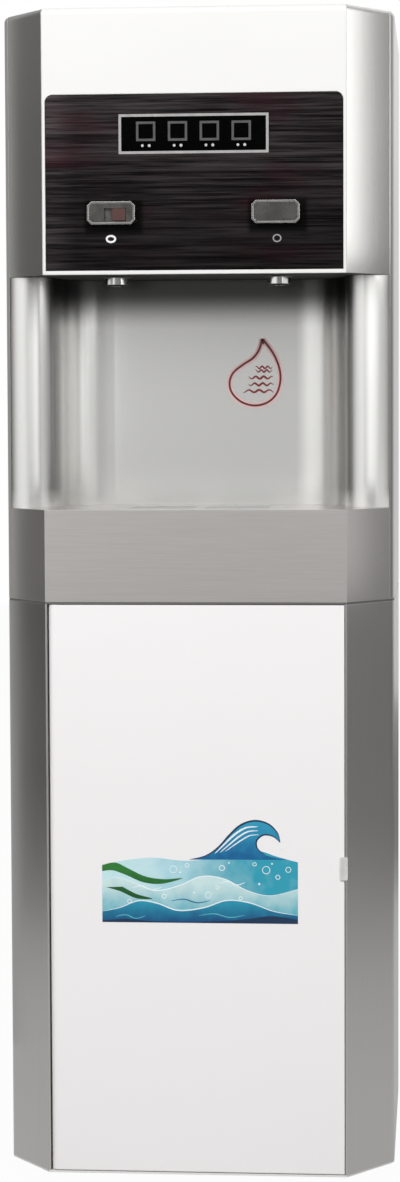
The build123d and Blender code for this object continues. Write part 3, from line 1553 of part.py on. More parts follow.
# Delivery tube: manifold, up through the deck, and down onto the float valve
over_z = stem_top_z + over_rise
riser_y = depth_y(riser_depth)
dip_level = port_level - delivery_dip
delivery_points = [
    (manifold_end, filter_y, port_level),
    (manifold_end + delivery_stub_run, filter_y, port_level),
    (riser_x, depth_y(delivery_turn_depth), dip_level),
    (riser_x, riser_y, dip_level),
    (riser_x, riser_y, over_z - over_dip),
    (riser_x - over_side_run, riser_y - over_front_run, over_z),
    (float_x, float_y, over_z + over_crest),
    (float_x, float_y, stem_top_z),
]
delivery_part = tube(delivery_points, delivery_bends, tube_radius)
with BuildPart() as delivery_tube:
    add(delivery_part)
delivery_tube.part.label = "delivery_tube"
export_step(delivery_tube.part, "parts/delivery_tube.step")

# Hot outlet tube: from the tank's stub up and forward over the bay to the left valve
hot_out_points = [
    (hot_x, hot_y, hot_stub_z),
    (hot_x, hot_y, port_z),
    (tap_x[0], port_end_y + hot_bay_run, port_z),
    (tap_x[0], port_end_y, port_z),
]
hot_out_part = tube(hot_out_points, hot_out_bends, silicone_radius)
with BuildPart() as hot_outlet_tube:
    add(hot_out_part)
hot_outlet_tube.part.label = "hot_outlet_tube"
export_step(hot_outlet_tube.part, "parts/hot_outlet_tube.step")

# Cold outlet tube: from the tank's stub up between the tanks and to the right valve
between_x = (hot_x + hot_jacket_radius + cold_x - cold_jacket_radius) / 2
cold_over_y = port_end_y + cold_bay_run
cold_out_points = [
    (cold_stub_x, cold_y, cold_out_z),
    (between_x, cold_y, cold_out_z),
    (between_x, cold_y, port_z),
    (between_x, cold_over_y, port_z),
    (tap_x[1], cold_over_y, port_z),
    (tap_x[1], port_end_y, port_z),
]
cold_out_part = tube(cold_out_points, cold_out_bends, silicone_radius)
with BuildPart() as cold_outlet_tube:
    add(cold_out_part)
cold_outlet_tube.part.label = "cold_outlet_tube"
export_step(cold_outlet_tube.part, "parts/cold_outlet_tube.step")
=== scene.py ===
import math

import bmesh
import bpy
from mathutils import Matrix, Vector


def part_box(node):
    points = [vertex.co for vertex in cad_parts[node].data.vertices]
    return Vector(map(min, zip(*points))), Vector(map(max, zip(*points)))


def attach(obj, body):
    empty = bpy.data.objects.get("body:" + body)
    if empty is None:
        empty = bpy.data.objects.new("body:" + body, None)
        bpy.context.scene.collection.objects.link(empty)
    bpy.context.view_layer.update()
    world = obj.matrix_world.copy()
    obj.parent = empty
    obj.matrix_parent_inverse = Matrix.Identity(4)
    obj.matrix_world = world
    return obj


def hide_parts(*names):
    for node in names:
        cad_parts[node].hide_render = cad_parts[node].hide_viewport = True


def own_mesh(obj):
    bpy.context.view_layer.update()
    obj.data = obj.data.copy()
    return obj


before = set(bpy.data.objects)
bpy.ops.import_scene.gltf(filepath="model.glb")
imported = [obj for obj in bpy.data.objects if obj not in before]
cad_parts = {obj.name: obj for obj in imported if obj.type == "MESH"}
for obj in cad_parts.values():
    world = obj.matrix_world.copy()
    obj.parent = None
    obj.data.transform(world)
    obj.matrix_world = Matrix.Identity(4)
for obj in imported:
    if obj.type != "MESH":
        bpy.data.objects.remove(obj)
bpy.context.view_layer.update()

# Faces of the part that carry prints and screws, and the thickness of the bay's wall
BAY_WALL = 0.0025
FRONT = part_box("head_plate")[0].y
BAY_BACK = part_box("bay_liner")[1].y - BAY_WALL
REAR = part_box("rear_panel")[1].y


# Node graphs

def bare_tree(owner):
    """Node tree of a material or a world, with nothing in it."""
    owner.use_nodes = True
    owner.node_tree.nodes.clear()
    return owner.node_tree


def feed(tree, node, inputs):
    """Sets inputs of a node, each to a value or to the socket that feeds it."""
    for key, value in inputs.items():
        if isinstance(value, bpy.types.NodeSocket):
            tree.links.new(value, node.inputs[key])
        else:
            node.inputs[key].default_value = value


def put(tree, kind, inputs=None, **settings):
    """Adds a node with its settings and its inputs."""
    node = tree.nodes.new("ShaderNode" + kind)
    for key, value in settings.items():
        setattr(node, key, value)
    feed(tree, node, inputs or {})
    return node


def graph(name):
    """New material with a Principled shader joined to its output."""
    material = bpy.data.materials.new(name)
    tree = bare_tree(material)
    shader = put(tree, "BsdfPrincipled")
    put(tree, "OutputMaterial", {0: shader.outputs[0]})
    return material, tree, shader


def rgba(colour):
    return (colour[0], colour[1], colour[2], 1.0)


def scaled(colour, factor):
    return tuple(min(1.0, c * factor) for c in colour[:3]) + (1.0,)


def place(tree, scale=(1, 1, 1), shift=(0, 0, 0)):
    """Position on the part, stretched by a scale for each axis."""
    coords = put(tree, "TexCoord").outputs["Object"]
    mapping = put(tree, "Mapping", {"Vector": coords, "Scale": scale, "Location": shift})
    return mapping.outputs[0]


def noise(tree, scale, detail=3.0, stretch=(1, 1, 1), shift=(0, 0, 0), rough=0.5):
    """Cloudy value about 0.5; the scale counts clouds in a metre."""
    vector = place(tree, stretch, shift)
    inputs = {"Vector": vector, "Scale": scale, "Detail": detail, "Roughness": rough}
    return put(tree, "TexNoise", inputs).outputs["Fac"]


def span(tree, value, low, high, to_low=0.0, to_high=1.0, smooth=False):
    """Value between two limits, brought to a new span and held at its ends."""
    inputs = {0: value, 1: low, 2: high, 3: to_low, 4: to_high}
    curve = "SMOOTHSTEP" if smooth else "LINEAR"
    return put(tree, "MapRange", inputs, clamp=True, interpolation_type=curve).outputs[0]


def mix(tree, factor, a, b, blend="MIX"):
    """Colour a, changed by colour b as far as the factor says."""
    return put(tree, "Mix", {0: factor, 6: a, 7: b}, data_type="RGBA", blend_type=blend).outputs[2]


def calc(tree, operation, a, b=0.0):
    return put(tree, "Math", {0: a, 1: b}, operation=operation).outputs[0]


def product(tree, value, *others):
    for other in others:
        value = calc(tree, "MULTIPLY", value, other)
    return value


def rest(tree, value):
    """What a value lacks to 1."""
    return calc(tree, "SUBTRACT", 1.0, value)


def axis_value(tree, axis):
    coords = put(tree, "TexCoord").outputs["Object"]
    return put(tree, "SeparateXYZ", {0: coords}).outputs[axis]


# Cosine between a face and its rounded edge: where the edge mask starts, and where it is full
EDGE_START, EDGE_FULL = 0.995, 0.93


def edge_normal(tree, radius):
    """Normal that turns softly over the edges."""
    return put(tree, "Bevel", {"Radius": radius}, samples=4).outputs[0]


def edges(tree, radius):
    """Normal of the rounded edge, and a mask that is 1 along the edges."""
    normal = edge_normal(tree, radius)
    flat = put(tree, "NewGeometry").outputs["Normal"]
    cosine = put(tree, "VectorMath", {0: normal, 1: flat}, operation="DOT_PRODUCT").outputs["Value"]
    return normal, span(tree, cosine, EDGE_START, EDGE_FULL)


def embossed(tree, height, depth, normal=None, strength=1.0):
    """Normal of a surface with a grain of some depth in metres."""
    inputs = {"Height": height, "Distance": depth, "Strength": strength}
    if normal:
        inputs["Normal"] = normal
    return put(tree, "Bump", inputs).outputs[0]


def surface(
    name,
    colour,
    rough,
    metallic=0.0,
    spread=0.03,
    grain=700.0,
    depth=0.00002,
    stretch=(1, 1, 1),
    streaks=0.0,
    wear=0.25,
    worn=None,
    radius=0.0006,
    coat=0.0,
    coat_rough=0.1,
    rough_spread=0.03,
    specular=0.5,
):
    """Painted, moulded or brushed surface: shade varies, grain is embossed, edges are worn."""
    material, tree, shader = graph(name)
    broad = noise(tree, scale=5.0, detail=1.5, shift=(3.1, 1.7, 0.4))
    darker, lighter = scaled(colour, 1 - spread), scaled(colour, 1 + spread)
    base = mix(tree, span(tree, broad, 0.2, 0.8, smooth=True), darker, lighter)
    fine = noise(tree, grain, detail=4.0, stretch=stretch)
    if streaks:
        dark, light = scaled(colour, 1 - streaks), scaled(colour, 1 + streaks)
        base = mix(tree, 0.7, base, mix(tree, span(tree, fine, 0.32, 0.68), dark, light))
    normal, mask = edges(tree, radius)
    scuffs = span(tree, noise(tree, scale=60.0, detail=4.0), 0.42, 0.66)
    worn_mask = product(tree, mask, scuffs, wear)
    base = mix(tree, worn_mask, base, rgba(worn or scaled(colour, 1.25)))
    clouds = noise(tree, scale=9.0, detail=1.5)
    uneven = span(tree, clouds, 0.15, 0.85, -rough_spread, rough_spread, smooth=True)
    polish = calc(tree, "ADD", uneven, rough)
    polish = calc(tree, "ADD", polish, product(tree, worn_mask, 0.3))
    feed(tree, shader, {
        "Base Color": base,
        "Roughness": polish,
        "Normal": embossed(tree, fine, depth, normal),
        "Metallic": metallic,
        "Specular IOR Level": specular,
        "Coat Weight": coat,
        "Coat Roughness": coat_rough,
    })
    return material, tree, shader, base


def plain(name, colour, rough, **more):
    return surface(name, colour, rough, **more)[0]


SILVER = (0.56, 0.55, 0.535)
WHITE = (0.9, 0.895, 0.885)
# Painted shade: colour of silver and chrome faces that look down
UNDERSIDE_SHADE = (0.02, 0.0185, 0.017, 1)


def painted_shade_underneath(look, limit=-0.7):
    """Metal part whose faces that look down get painted shade, dark and matt."""
    material, tree, shader, base = look
    normal = put(tree, "TexCoord").outputs["Normal"]
    down = calc(tree, "LESS_THAN", put(tree, "SeparateXYZ", {0: normal}).outputs["Z"], limit)
    metal = shader.inputs["Metallic"].default_value
    polish = shader.inputs["Roughness"].links[0].from_socket
    feed(tree, shader, {
        "Base Color": mix(tree, down, base, UNDERSIDE_SHADE),
        "Metallic": span(tree, down, 0.0, 1.0, metal, 0.0),
        "Roughness": calc(tree, "MAXIMUM", polish, product(tree, down, 0.8)),
    })
    return material


# Silver sheet and silver mouldings
silver_sheet = plain(
    "silver_sheet", SILVER, 0.3, metallic=0.94, spread=0.02, grain=420.0,
    depth=0.000002, stretch=(1, 1, 0.02), streaks=0.014, wear=0.3, radius=0.0008,
    rough_spread=0.02,
)
silver_head = painted_shade_underneath(surface(
    "silver_head", SILVER, 0.26, metallic=0.9, spread=0.015, grain=420.0,
    depth=0.000002, stretch=(1, 1, 0.02), streaks=0.012, wear=0.25, radius=0.0008,
    rough_spread=0.015,
))
silver_fascia = plain(
    "silver_fascia", (0.62, 0.597, 0.578), 0.32, metallic=0.88, spread=0.02, grain=1100.0,
    depth=0.000018, stretch=(0.02, 1, 1), streaks=0.05, wear=0.25, radius=0.0008, coat=0.1,
)

# Shade on the bay lining: from where to where it sets in or fades, and how dark it is
HEAD_SHADE_DEPTHS = (-0.122, -0.108)
HEAD_SHADE_HEIGHTS = (0.738, 0.772)
HEAD_SHADE = 0.88
EDGE_SHADE_DEPTHS = (-0.124, -0.115)
LEFT_FADE, LEFT_SHADE = (-0.104, -0.084), 0.64
RIGHT_FADE, RIGHT_SHADE = (-0.106, -0.046), 0.68
SHELF_FADE = (0.586, 0.6)


def bay_shade(look):
    """Bay lining with painted shade under the head and behind its two rounded edges."""
    material, tree, shader, base = look
    x, y, z = (axis_value(tree, axis) for axis in "XYZ")
    inside = span(tree, y, *HEAD_SHADE_DEPTHS)
    under = product(tree, inside, span(tree, z, *HEAD_SHADE_HEIGHTS, 0.0, HEAD_SHADE, smooth=True))
    behind_edge = span(tree, y, *EDGE_SHADE_DEPTHS, smooth=True)
    left = span(tree, y, *LEFT_FADE, LEFT_SHADE, 0.0, smooth=True)
    right = span(tree, y, *RIGHT_FADE, RIGHT_SHADE, 0.0, smooth=True)
    on_right = calc(tree, "GREATER_THAN", x, 0.0)
    band = calc(
        tree, "ADD", product(tree, on_right, right), product(tree, rest(tree, on_right), left)
    )
    over_shelf = span(tree, z, *SHELF_FADE)
    band = product(tree, band, behind_edge, over_shelf)
    light = product(tree, rest(tree, under), rest(tree, band))
    shade = mix(tree, light, (0.0, 0.0, 0.0, 1), (1, 1, 1, 1))
    toned = mix(tree, 1.0, base, shade, "MULTIPLY")
    feed(tree, shader, {"Base Color": toned})
    return material, tree, shader, toned


silver_bay = painted_shade_underneath(bay_shade(surface(
    "silver_bay", (0.76, 0.755, 0.735), 0.25, metallic=0.9, spread=0.015, grain=1300.0,
    depth=0.000004, stretch=(1, 1, 0.03), streaks=0.01, wear=0.2, radius=0.0008,
    rough_spread=0.015,
)))
silver_tray = plain(
    "silver_tray", SILVER, 0.38, metallic=0.8, spread=0.03, grain=900.0, depth=0.00002, wear=0.3,
)

# White sheet and mouldings, and the plain looks of the inner pieces
white_door = plain(
    "white_door", (0.915, 0.893, 0.894), 0.26, spread=0.008, grain=420.0, depth=0.000012, wear=0.2,
    worn=(0.8, 0.79, 0.77), radius=0.0012, coat=0.35, coat_rough=0.12, rough_spread=0.015,
)
white_plate = plain(
    "white_plate", (0.82, 0.815, 0.805), 0.22, spread=0.008, grain=420.0, depth=0.000012, wear=0.2,
    worn=(0.78, 0.77, 0.75), radius=0.0012, coat=0.3, coat_rough=0.08, rough_spread=0.015,
)
white_cover = plain(
    "white_cover", WHITE, 0.34, spread=0.02, grain=900.0, depth=0.00003, wear=0.3,
    worn=(0.78, 0.77, 0.74),
)
white_sheet = plain(
    "white_sheet", (0.8, 0.795, 0.78), 0.42, spread=0.03, grain=1300.0, depth=0.00004,
    wear=0.4, worn=(0.6, 0.59, 0.57),
)
# The deck's dark colour is painted shade: it makes the seam between the lower and upper panels read as a
# shadow line
deck_sheet = plain(
    "deck_sheet", (0.17, 0.17, 0.168), 0.45, metallic=0.4, spread=0.05, grain=1500.0,
    depth=0.00004, wear=0.4, worn=(0.3, 0.3, 0.3),
)
rubber = plain(
    "rubber", (0.022, 0.022, 0.023), 0.75, spread=0.15, grain=900.0, depth=0.00006,
    wear=0.5, worn=(0.07, 0.07, 0.07), specular=0.3,
)
black_plastic = plain(
    "black_plastic", (0.018, 0.018, 0.019), 0.4, spread=0.1, grain=1600.0, depth=0.00004,
    wear=0.5, worn=(0.08, 0.08, 0.08),
)
chrome = painted_shade_underneath(surface(
    "chrome", (0.82, 0.82, 0.81), 0.08, metallic=1.0, spread=0.01, grain=300.0,
    depth=0.000004, wear=0.1, radius=0.0002, rough_spread=0.03,
), limit=-0.3)
steel = plain(
    "steel", (0.56, 0.56, 0.55), 0.3, metallic=1.0, spread=0.04, grain=1200.0,
    depth=0.00001, stretch=(0.03, 1, 1), streaks=0.08, wear=0.4, worn=(0.75, 0.75, 0.74),
)
tank_steel = plain(
    "tank_steel", (0.6, 0.6, 0.59), 0.26, metallic=1.0, spread=0.03, grain=1200.0,
    depth=0.00001, stretch=(1, 1, 0.03), streaks=0.06, wear=0.3, worn=(0.75, 0.75, 0.74),
)
spring_steel = plain(
    "spring_steel", (0.5, 0.5, 0.5), 0.24, metallic=1.0, spread=0.06, grain=2500.0,
    depth=0.000006, wear=0.2, radius=0.0002,
)
aluminium = plain(
    "aluminium", (0.7, 0.7, 0.7), 0.36, metallic=1.0, spread=0.03, grain=1400.0,
    depth=0.00001, stretch=(1, 1, 0.03), streaks=0.05, wear=0.4, worn=(0.85, 0.85, 0.85),
)
white_plastic = plain(
    "white_plastic", (0.78, 0.78, 0.76), 0.4, spread=0.03, grain=1200.0, depth=0.00003,
    wear=0.3, worn=(0.65, 0.64, 0.6),
)
ceramic = plain(
    "ceramic", (0.82, 0.81, 0.78), 0.55, spread=0.03, grain=2600.0, depth=0.00001, wear=0.2,
)
tube_plastic = plain(
    "tube_plastic", (0.75, 0.76, 0.77), 0.3, spread=0.05, grain=800.0, depth=0.00001,
    wear=0.0, radius=0.0003,
)
silicone = plain(
    "silicone", (0.66, 0.65, 0.6), 0.5, spread=0.06, grain=900.0, depth=0.00002,
    wear=0.0, radius=0.0003,
)
red_plastic = plain(
    "red_plastic", (0.28, 0.02, 0.018), 0.3, spread=0.06, grain=1500.0, depth=0.00002,
    wear=0.4, worn=(0.45, 0.12, 0.1), coat=0.2,
)
lock_red = plain(
    "lock_red", (0.07, 0.031, 0.028), 0.28, spread=0.1, grain=1500.0, depth=0.00002,
    wear=0.3, worn=(0.12, 0.08, 0.07), coat=0.3,
)
blue_plastic = plain(
    "blue_plastic", (0.03, 0.1, 0.4), 0.3, spread=0.06, grain=1500.0, depth=0.00002,
    wear=0.4, worn=(0.15, 0.25, 0.55), coat=0.2,
)


def foam():
    """Beige foam: open cells, pressed and a little darker in patches."""
    material, tree, shader = graph("foam")
    cells = put(tree, "TexVoronoi", {"Vector": place(tree), "Scale": 420.0}).outputs["Distance"]
    patches = span(tree, noise(tree, scale=9.0, detail=5.0), 0.3, 0.7)
    base = mix(tree, patches, (0.6, 0.57, 0.47, 1), (0.72, 0.69, 0.6, 1))
    base = mix(tree, span(tree, cells, 0.0, 0.5, 0.5, 0.0), base, (0.4, 0.37, 0.29, 1))
    feed(tree, shader, {
        "Base Color": base,
        "Normal": embossed(tree, cells, 0.0004, strength=0.8),
        "Roughness": 0.85,
    })
    return material


# The painted shadow beside a button reaches this far over the panel, and lies a little to the right and
# below
SHADOW_REACH = 0.005
SHADOW_RIGHT, SHADOW_BELOW = 0.0015, 0.003
# Painted light: the panel is paler towards its top and along its left edge
PANEL_RISE = (0.795, 0.9)
PANEL_LEFT = (-0.098, -0.124)


def black_panel():
    """Black panel with fine horizontal streaks of grey and faint warm patches, painted light towards its
    top and left, and painted shadow beside the buttons.
    """
    material, tree, shader = graph("black_panel")
    long_lines = noise(tree, 10.0, 5.0, (1.0, 1.0, 34.0), rough=0.65)
    short_lines = noise(tree, 22.0, 4.0, (0.8, 1.0, 50.0), (0.7, 0, 2.0), rough=0.6)
    lines = product(tree, span(tree, long_lines, 0.43, 0.66), 0.62)
    lines = calc(tree, "ADD", lines, product(tree, span(tree, short_lines, 0.4, 0.75), 0.38))
    base = mix(tree, lines, (0.001, 0.0008, 0.0009, 1), (0.046, 0.039, 0.0405, 1))
    patches = noise(tree, 12.0, 2.0, (1.0, 1.0, 2.2), (0.4, 0, 1.3))
    warm = span(tree, patches, 0.5, 0.74, 0.0, 0.55, smooth=True)
    base = mix(tree, warm, base, (0.022, 0.005, 0.009, 1))
    x, z = axis_value(tree, "X"), axis_value(tree, "Z")
    upward = span(tree, z, *PANEL_RISE, 0.5, 1.25, smooth=True)
    light = calc(tree, "ADD", upward, span(tree, x, *PANEL_LEFT, 0.0, 0.9, smooth=True))
    # painted shadow in the corner between the panel and the buttons that stand on it
    for key in ("hot_button", "cold_button"):
        low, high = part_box(key)
        half_x, half_z = (high.x - low.x) / 2, (high.z - low.z) / 2
        across = calc(tree, "SUBTRACT", x, (low.x + high.x) / 2 + SHADOW_RIGHT)
        along = calc(tree, "SUBTRACT", z, (low.z + high.z) / 2 - SHADOW_BELOW)
        beside, below = (
            span(tree, calc(tree, "ABSOLUTE", off), half, half + SHADOW_REACH, 1.0, 0.0, smooth=True)
            for off, half in ((across, half_x), (along, half_z))
        )
        light = product(tree, light, rest(tree, product(tree, beside, below, 0.85)))
    base = put(tree, "VectorMath", {0: base, 1: light}, operation="MULTIPLY").outputs[0]
    feed(tree, shader, {
        "Base Color": base,
        "Roughness": span(tree, lines, 0.0, 1.0, 0.24, 0.36),
        "Normal": embossed(tree, lines, 0.00001, edge_normal(tree, 0.0006)),
        "Specular IOR Level": 0.06,
    })
    return material


# Half sizes inside the display's border, and how far its raised lines stand in front at least
BORDER_X, BORDER_Z = 0.058, 0.0135
LENS_RISE = 0.0002


def display():
    """Dark lens; the raised border and the raised square outlines are pale."""
    material, tree, shader = graph("display")
    low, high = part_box("display_window")
    x, y, z = (axis_value(tree, axis) for axis in "XYZ")
    off_middle = calc(tree, "ABSOLUTE", calc(tree, "SUBTRACT", z, (low.z + high.z) / 2))
    raised = calc(tree, "LESS_THAN", y, FRONT - LENS_RISE)
    border = calc(
        tree, "MAXIMUM", calc(tree, "GREATER_THAN", calc(tree, "ABSOLUTE", x), BORDER_X),
        calc(tree, "GREATER_THAN", off_middle, BORDER_Z),
    )
    worn = span(tree, noise(tree, scale=120.0, detail=3.0), 0.3, 0.7, 0.85, 1.05)
    pale = mix(tree, border, (0.105, 0.105, 0.105, 1), (0.4, 0.395, 0.39, 1))
    pale = mix(tree, 1.0, pale, worn, "MULTIPLY")
    dust = span(tree, noise(tree, scale=500.0, detail=4.0), 0.5, 0.8, 0.0, 0.006)
    dark = mix(tree, dust, (0.0008, 0.0008, 0.0009, 1), (0.2, 0.2, 0.2, 1))
    feed(tree, shader, {
        "Base Color": mix(tree, raised, dark, pale),
        "Roughness": span(tree, raised, 0, 1, 0.14, 0.4),
        "Specular IOR Level": 0.03,
    })
    return material


def key_face():
    """Smoked face of a button: clear brown-grey, with fine wear."""
    material, tree, shader = graph("key_face")
    cloud = span(tree, noise(tree, scale=90.0, detail=4.0), 0.3, 0.7)
    grain = noise(tree, scale=1400.0, detail=3.0)
    feed(tree, shader, {
        "Base Color": mix(tree, cloud, (0.05, 0.047, 0.044, 1), (0.085, 0.08, 0.075, 1)),
        "Roughness": span(tree, cloud, 0, 1, 0.2, 0.32),
        "Normal": embossed(tree, grain, 0.00001, edge_normal(tree, 0.0004)),
        "Transmission Weight": 0.25,
        "Coat Weight": 0.4,
    })
    return material


def key_rim():
    """Clear rim of a button, with a painted highlight along its edges."""
    material, tree, shader = graph("key_rim")
    normal, mask = edges(tree, 0.001)
    cloud = span(tree, noise(tree, scale=120.0, detail=3.0), 0.3, 0.7)
    base = mix(tree, cloud, (0.11, 0.108, 0.105, 1), (0.19, 0.187, 0.182, 1))
    grain = noise(tree, scale=1400.0, detail=3.0)
    feed(tree, shader, {
        # painted highlight: the rim's edges are made pale
        "Base Color": mix(tree, mask, base, (0.7, 0.69, 0.68, 1)),
        "Roughness": span(tree, cloud, 0, 1, 0.12, 0.22),
        "Normal": embossed(tree, grain, 0.000008, normal),
        "Metallic": 0.3,
        "Coat Weight": 0.5,
    })
    return material


def clear_pull():
    """Milky clear plastic of the finger pull."""
    material, tree, shader = graph("clear_pull")
    cloud = span(tree, noise(tree, scale=150.0, detail=4.0), 0.3, 0.7)
    feed(tree, shader, {
        "Base Color": mix(tree, cloud, (0.82, 0.82, 0.81, 1), (0.92, 0.92, 0.91, 1)),
        "Roughness": span(tree, cloud, 0, 1, 0.16, 0.28),
        "Normal": embossed(tree, noise(tree, scale=900.0), 0.00001, edge_normal(tree, 0.0004)),
        "Transmission Weight": 0.35,
    })
    return material


# Depth in front of the board that its switches and lamps take up
PARTS_HEIGHT = 0.0042


def circuit_board():
    """Green board with copper runs, and pale switches and lamps standing on it."""
    material, tree, shader = graph("circuit_board")
    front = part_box("control_board")[0].y
    raised = calc(tree, "LESS_THAN", axis_value(tree, "Y"), front + PARTS_HEIGHT)
    flat = put(tree, "Mapping", {"Vector": place(tree, (1, 0, 1)), "Rotation": (math.pi / 2, 0, 0)})
    runs = put(tree, "TexBrick", {
        "Vector": flat.outputs[0], "Color1": (0.012, 0.09, 0.035, 1),
        "Color2": (0.01, 0.07, 0.028, 1), "Mortar": (0.04, 0.2, 0.08, 1), "Scale": 110.0,
        "Mortar Size": 0.03,
    })
    feed(tree, shader, {
        "Base Color": mix(tree, raised, runs.outputs["Color"], (0.5, 0.5, 0.48, 1)),
        "Normal": embossed(tree, noise(tree, scale=900.0), 0.00002),
        "Roughness": 0.4,
    })
    return material


CARTRIDGE_WHITE = (0.78, 0.78, 0.76)


def banded(name, band, low, high):
    """Cartridge: white moulding with a coloured band at one height."""
    material, tree, shader, base = surface(
        name, CARTRIDGE_WHITE, 0.36, spread=0.03, grain=1200.0, depth=0.00003, wear=0.3,
        worn=(0.6, 0.6, 0.57),
    )
    z = axis_value(tree, "Z")
    inside = product(tree, calc(tree, "GREATER_THAN", z, low), calc(tree, "LESS_THAN", z, high))
    mottle = span(tree, noise(tree, scale=40.0), 0.3, 0.7)
    tint = mix(tree, mottle, scaled(band, 0.9), scaled(band, 1.1))
    feed(tree, shader, {"Base Color": mix(tree, inside, base, tint)})
    return material


cartridge_low, cartridge_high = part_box("sediment_cartridge")
band_low, band_high = cartridge_low.z + 0.05, cartridge_high.z - 0.09
sediment = banded("sediment", (0.55, 0.56, 0.55), band_low, band_high)
carbon = banded("carbon", (0.06, 0.065, 0.07), band_low, band_high)
membrane = banded("membrane", (0.04, 0.22, 0.48), band_low, band_high)

LOOKS = {
    "lower_side_left": silver_sheet, "lower_side_right": silver_sheet,
    "upper_side_left": silver_sheet, "upper_side_right": silver_sheet,
    "head_shell": silver_head, "fascia": silver_fascia, "bay_liner": silver_bay,
    "drip_tray": silver_tray, "head_plate": white_plate, "door_panel": white_door,
    "top_cover": white_cover, "rear_panel": white_sheet, "door_inner": white_sheet,
    "base_pan": white_sheet, "mid_deck": deck_sheet, "feet": rubber, "drain_cap": rubber,
    "control_panel": black_panel(), "display_window": display(),
    "control_board": circuit_board(), "child_lock": lock_red,
    "heat_switch": red_plastic, "cool_switch": blue_plastic,
    "hot_button_spring": spring_steel, "cold_button_spring": spring_steel,
    "hinge_pins": spring_steel, "nozzles": chrome, "nozzle_collars": black_plastic,
    "tap_valves": black_plastic, "magnet_catch": black_plastic,
    "power_inlet": black_plastic, "switch_housings": black_plastic,
    "fan_frame": black_plastic, "fan_rotor": black_plastic, "power_supply": black_plastic,
    "hot_tank": tank_steel, "cold_tank": tank_steel, "heater_band": steel,
    "drip_grille": steel, "heat_sink": aluminium, "thermoelectric_module": ceramic,
    "cold_tank_lid": white_plastic, "float_valve": white_plastic, "float_arm": white_plastic,
    "filter_bracket": white_plastic, "water_inlet": white_plastic,
    "supply_tube": tube_plastic, "delivery_tube": tube_plastic,
    "hot_outlet_tube": silicone, "cold_outlet_tube": silicone,
    "sediment_cartridge": sediment, "carbon_cartridge": carbon,
    "membrane_cartridge": membrane, "door_pull": clear_pull(),
}
rim, face, foam_look = key_rim(), key_face(), foam()
for name in ("hot_button", "cold_button"):
    LOOKS[name] = rim
    LOOKS[name + "_face"] = face
for name in ("hot_tank_jacket", "cold_tank_jacket"):
    LOOKS[name] = foam_look

for name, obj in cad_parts.items():
    if obj.data.materials:
        for index in range(len(obj.data.materials)):
            obj.data.materials[index] = LOOKS[name]
    else:
        obj.data.materials.append(LOOKS[name])


# Meshes of the pieces that this script adds

def add_object(name, data):
    obj = bpy.data.objects.new(name, data)
    bpy.context.scene.collection.objects.link(obj)
    return obj


def finished(name, mesh, smooth):
    """Mesh data of a bmesh, with its faces turned outwards."""
    bmesh.ops.recalc_face_normals(mesh, faces=mesh.faces)
    data = bpy.data.meshes.new(name)
    mesh.to_mesh(data)
    mesh.free()
    for polygon in data.polygons:
        polygon.use_smooth = smooth
    return data


# Flat prints, drawn in millimetres as x and z on a face that looks towards the front

def smooth_curve(points, closed=False, steps=8):
    """Points of a smooth curve through the given ones."""
    count = len(points)
    curve = []
    last = count if closed else count - 1
    for i in range(last):
        if closed:
            four = [points[(i + k) % count] for k in (-1, 0, 1, 2)]
        else:
            four = [points[min(max(i + k, 0), count - 1)] for k in (-1, 0, 1, 2)]
        for step in range(steps):
            t = step / steps
            curve.append(tuple(
                0.5 * (2 * b + (c - a) * t + (2 * a - 5 * b + 4 * c - d) * t * t
                       + (3 * b - a - 3 * c + d) * t ** 3)
                for a, b, c, d in zip(*four)
            ))
    if not closed:
        curve.append(tuple(points[-1]))
    return curve


def circle(x, z, radius, count, squash=1.0):
    turns = [2 * math.pi * k / count for k in range(count)]
    return [(x + radius * math.cos(turn), z + squash * radius * math.sin(turn)) for turn in turns]


class Print:
    """Thin raised shapes on one face, gathered into a single mesh."""

    def __init__(self, face_y):
        self.mesh = bmesh.new()
        self.face_y = face_y
        self.looks = []

    def look(self, material):
        if material not in self.looks:
            self.looks.append(material)
        return self.looks.index(material)

    def row(self, outline, height=0.0):
        """Corners of an outline, raised to a height in millimetres."""
        y = self.face_y - height / 1000
        return [self.mesh.verts.new((x / 1000, y, z / 1000)) for x, z in outline]

    def shape(self, outline, height, material):
        """Closed outline, filled and raised."""
        index = self.look(material)
        area = sum(
            a[0] * b[1] - b[0] * a[1] for a, b in zip(outline, outline[1:] + outline[:1])
        )
        if area < 0:
            outline = outline[::-1]
        back, front = self.row(outline), self.row(outline, height)
        made = [self.mesh.faces.new(front), self.mesh.faces.new(back[::-1])]
        for i in range(len(outline)):
            j = (i + 1) % len(outline)
            made.append(self.mesh.faces.new((front[i], back[i], back[j], front[j])))
        for one in made:
            one.material_index = index

    def stroke(self, line, width, height, material, closed=False, taper=False):
        """Line of one width, or one that thins to its ends."""
        sides = [[], []]
        count = len(line)
        for i, (x, z) in enumerate(line):
            before = line[i - 1] if closed or i else line[i]
            after = line[(i + 1) % count] if closed or i < count - 1 else line[i]
            dx, dz = after[0] - before[0], after[1] - before[1]
            length = math.hypot(dx, dz) or 1.0
            half = width / 2
            if taper:
                half *= max(0.12, math.sin(math.pi * (i + 0.5) / count) ** 0.6)
            sides[0].append((x - dz / length * half, z + dx / length * half))
            sides[1].append((x + dz / length * half, z - dx / length * half))
        if not closed:
            self.shape(sides[0] + sides[1][::-1], height, material)
            return
        index = self.look(material)
        rings = [row for side in sides for row in (self.row(side), self.row(side, height))]
        for a, b in ((1, 3), (3, 2), (2, 0), (0, 1)):
            for i in range(count):
                j = (i + 1) % count
                one = self.mesh.faces.new((rings[a][i], rings[a][j], rings[b][j], rings[b][i]))
                one.material_index = index

    def disc(self, x, z, radius, height, material, count=20):
        self.shape(circle(x, z, radius, count), height, material)

    def ring(self, x, z, radius, width, height, material, squash=1.0):
        self.stroke(circle(x, z, radius, 28, squash), width, height, material, closed=True)

    def done(self, name, body):
        data = finished(name, self.mesh, smooth=False)
        for material in self.looks:
            data.materials.append(material)
        obj = add_object(name, data)
        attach(obj, body)


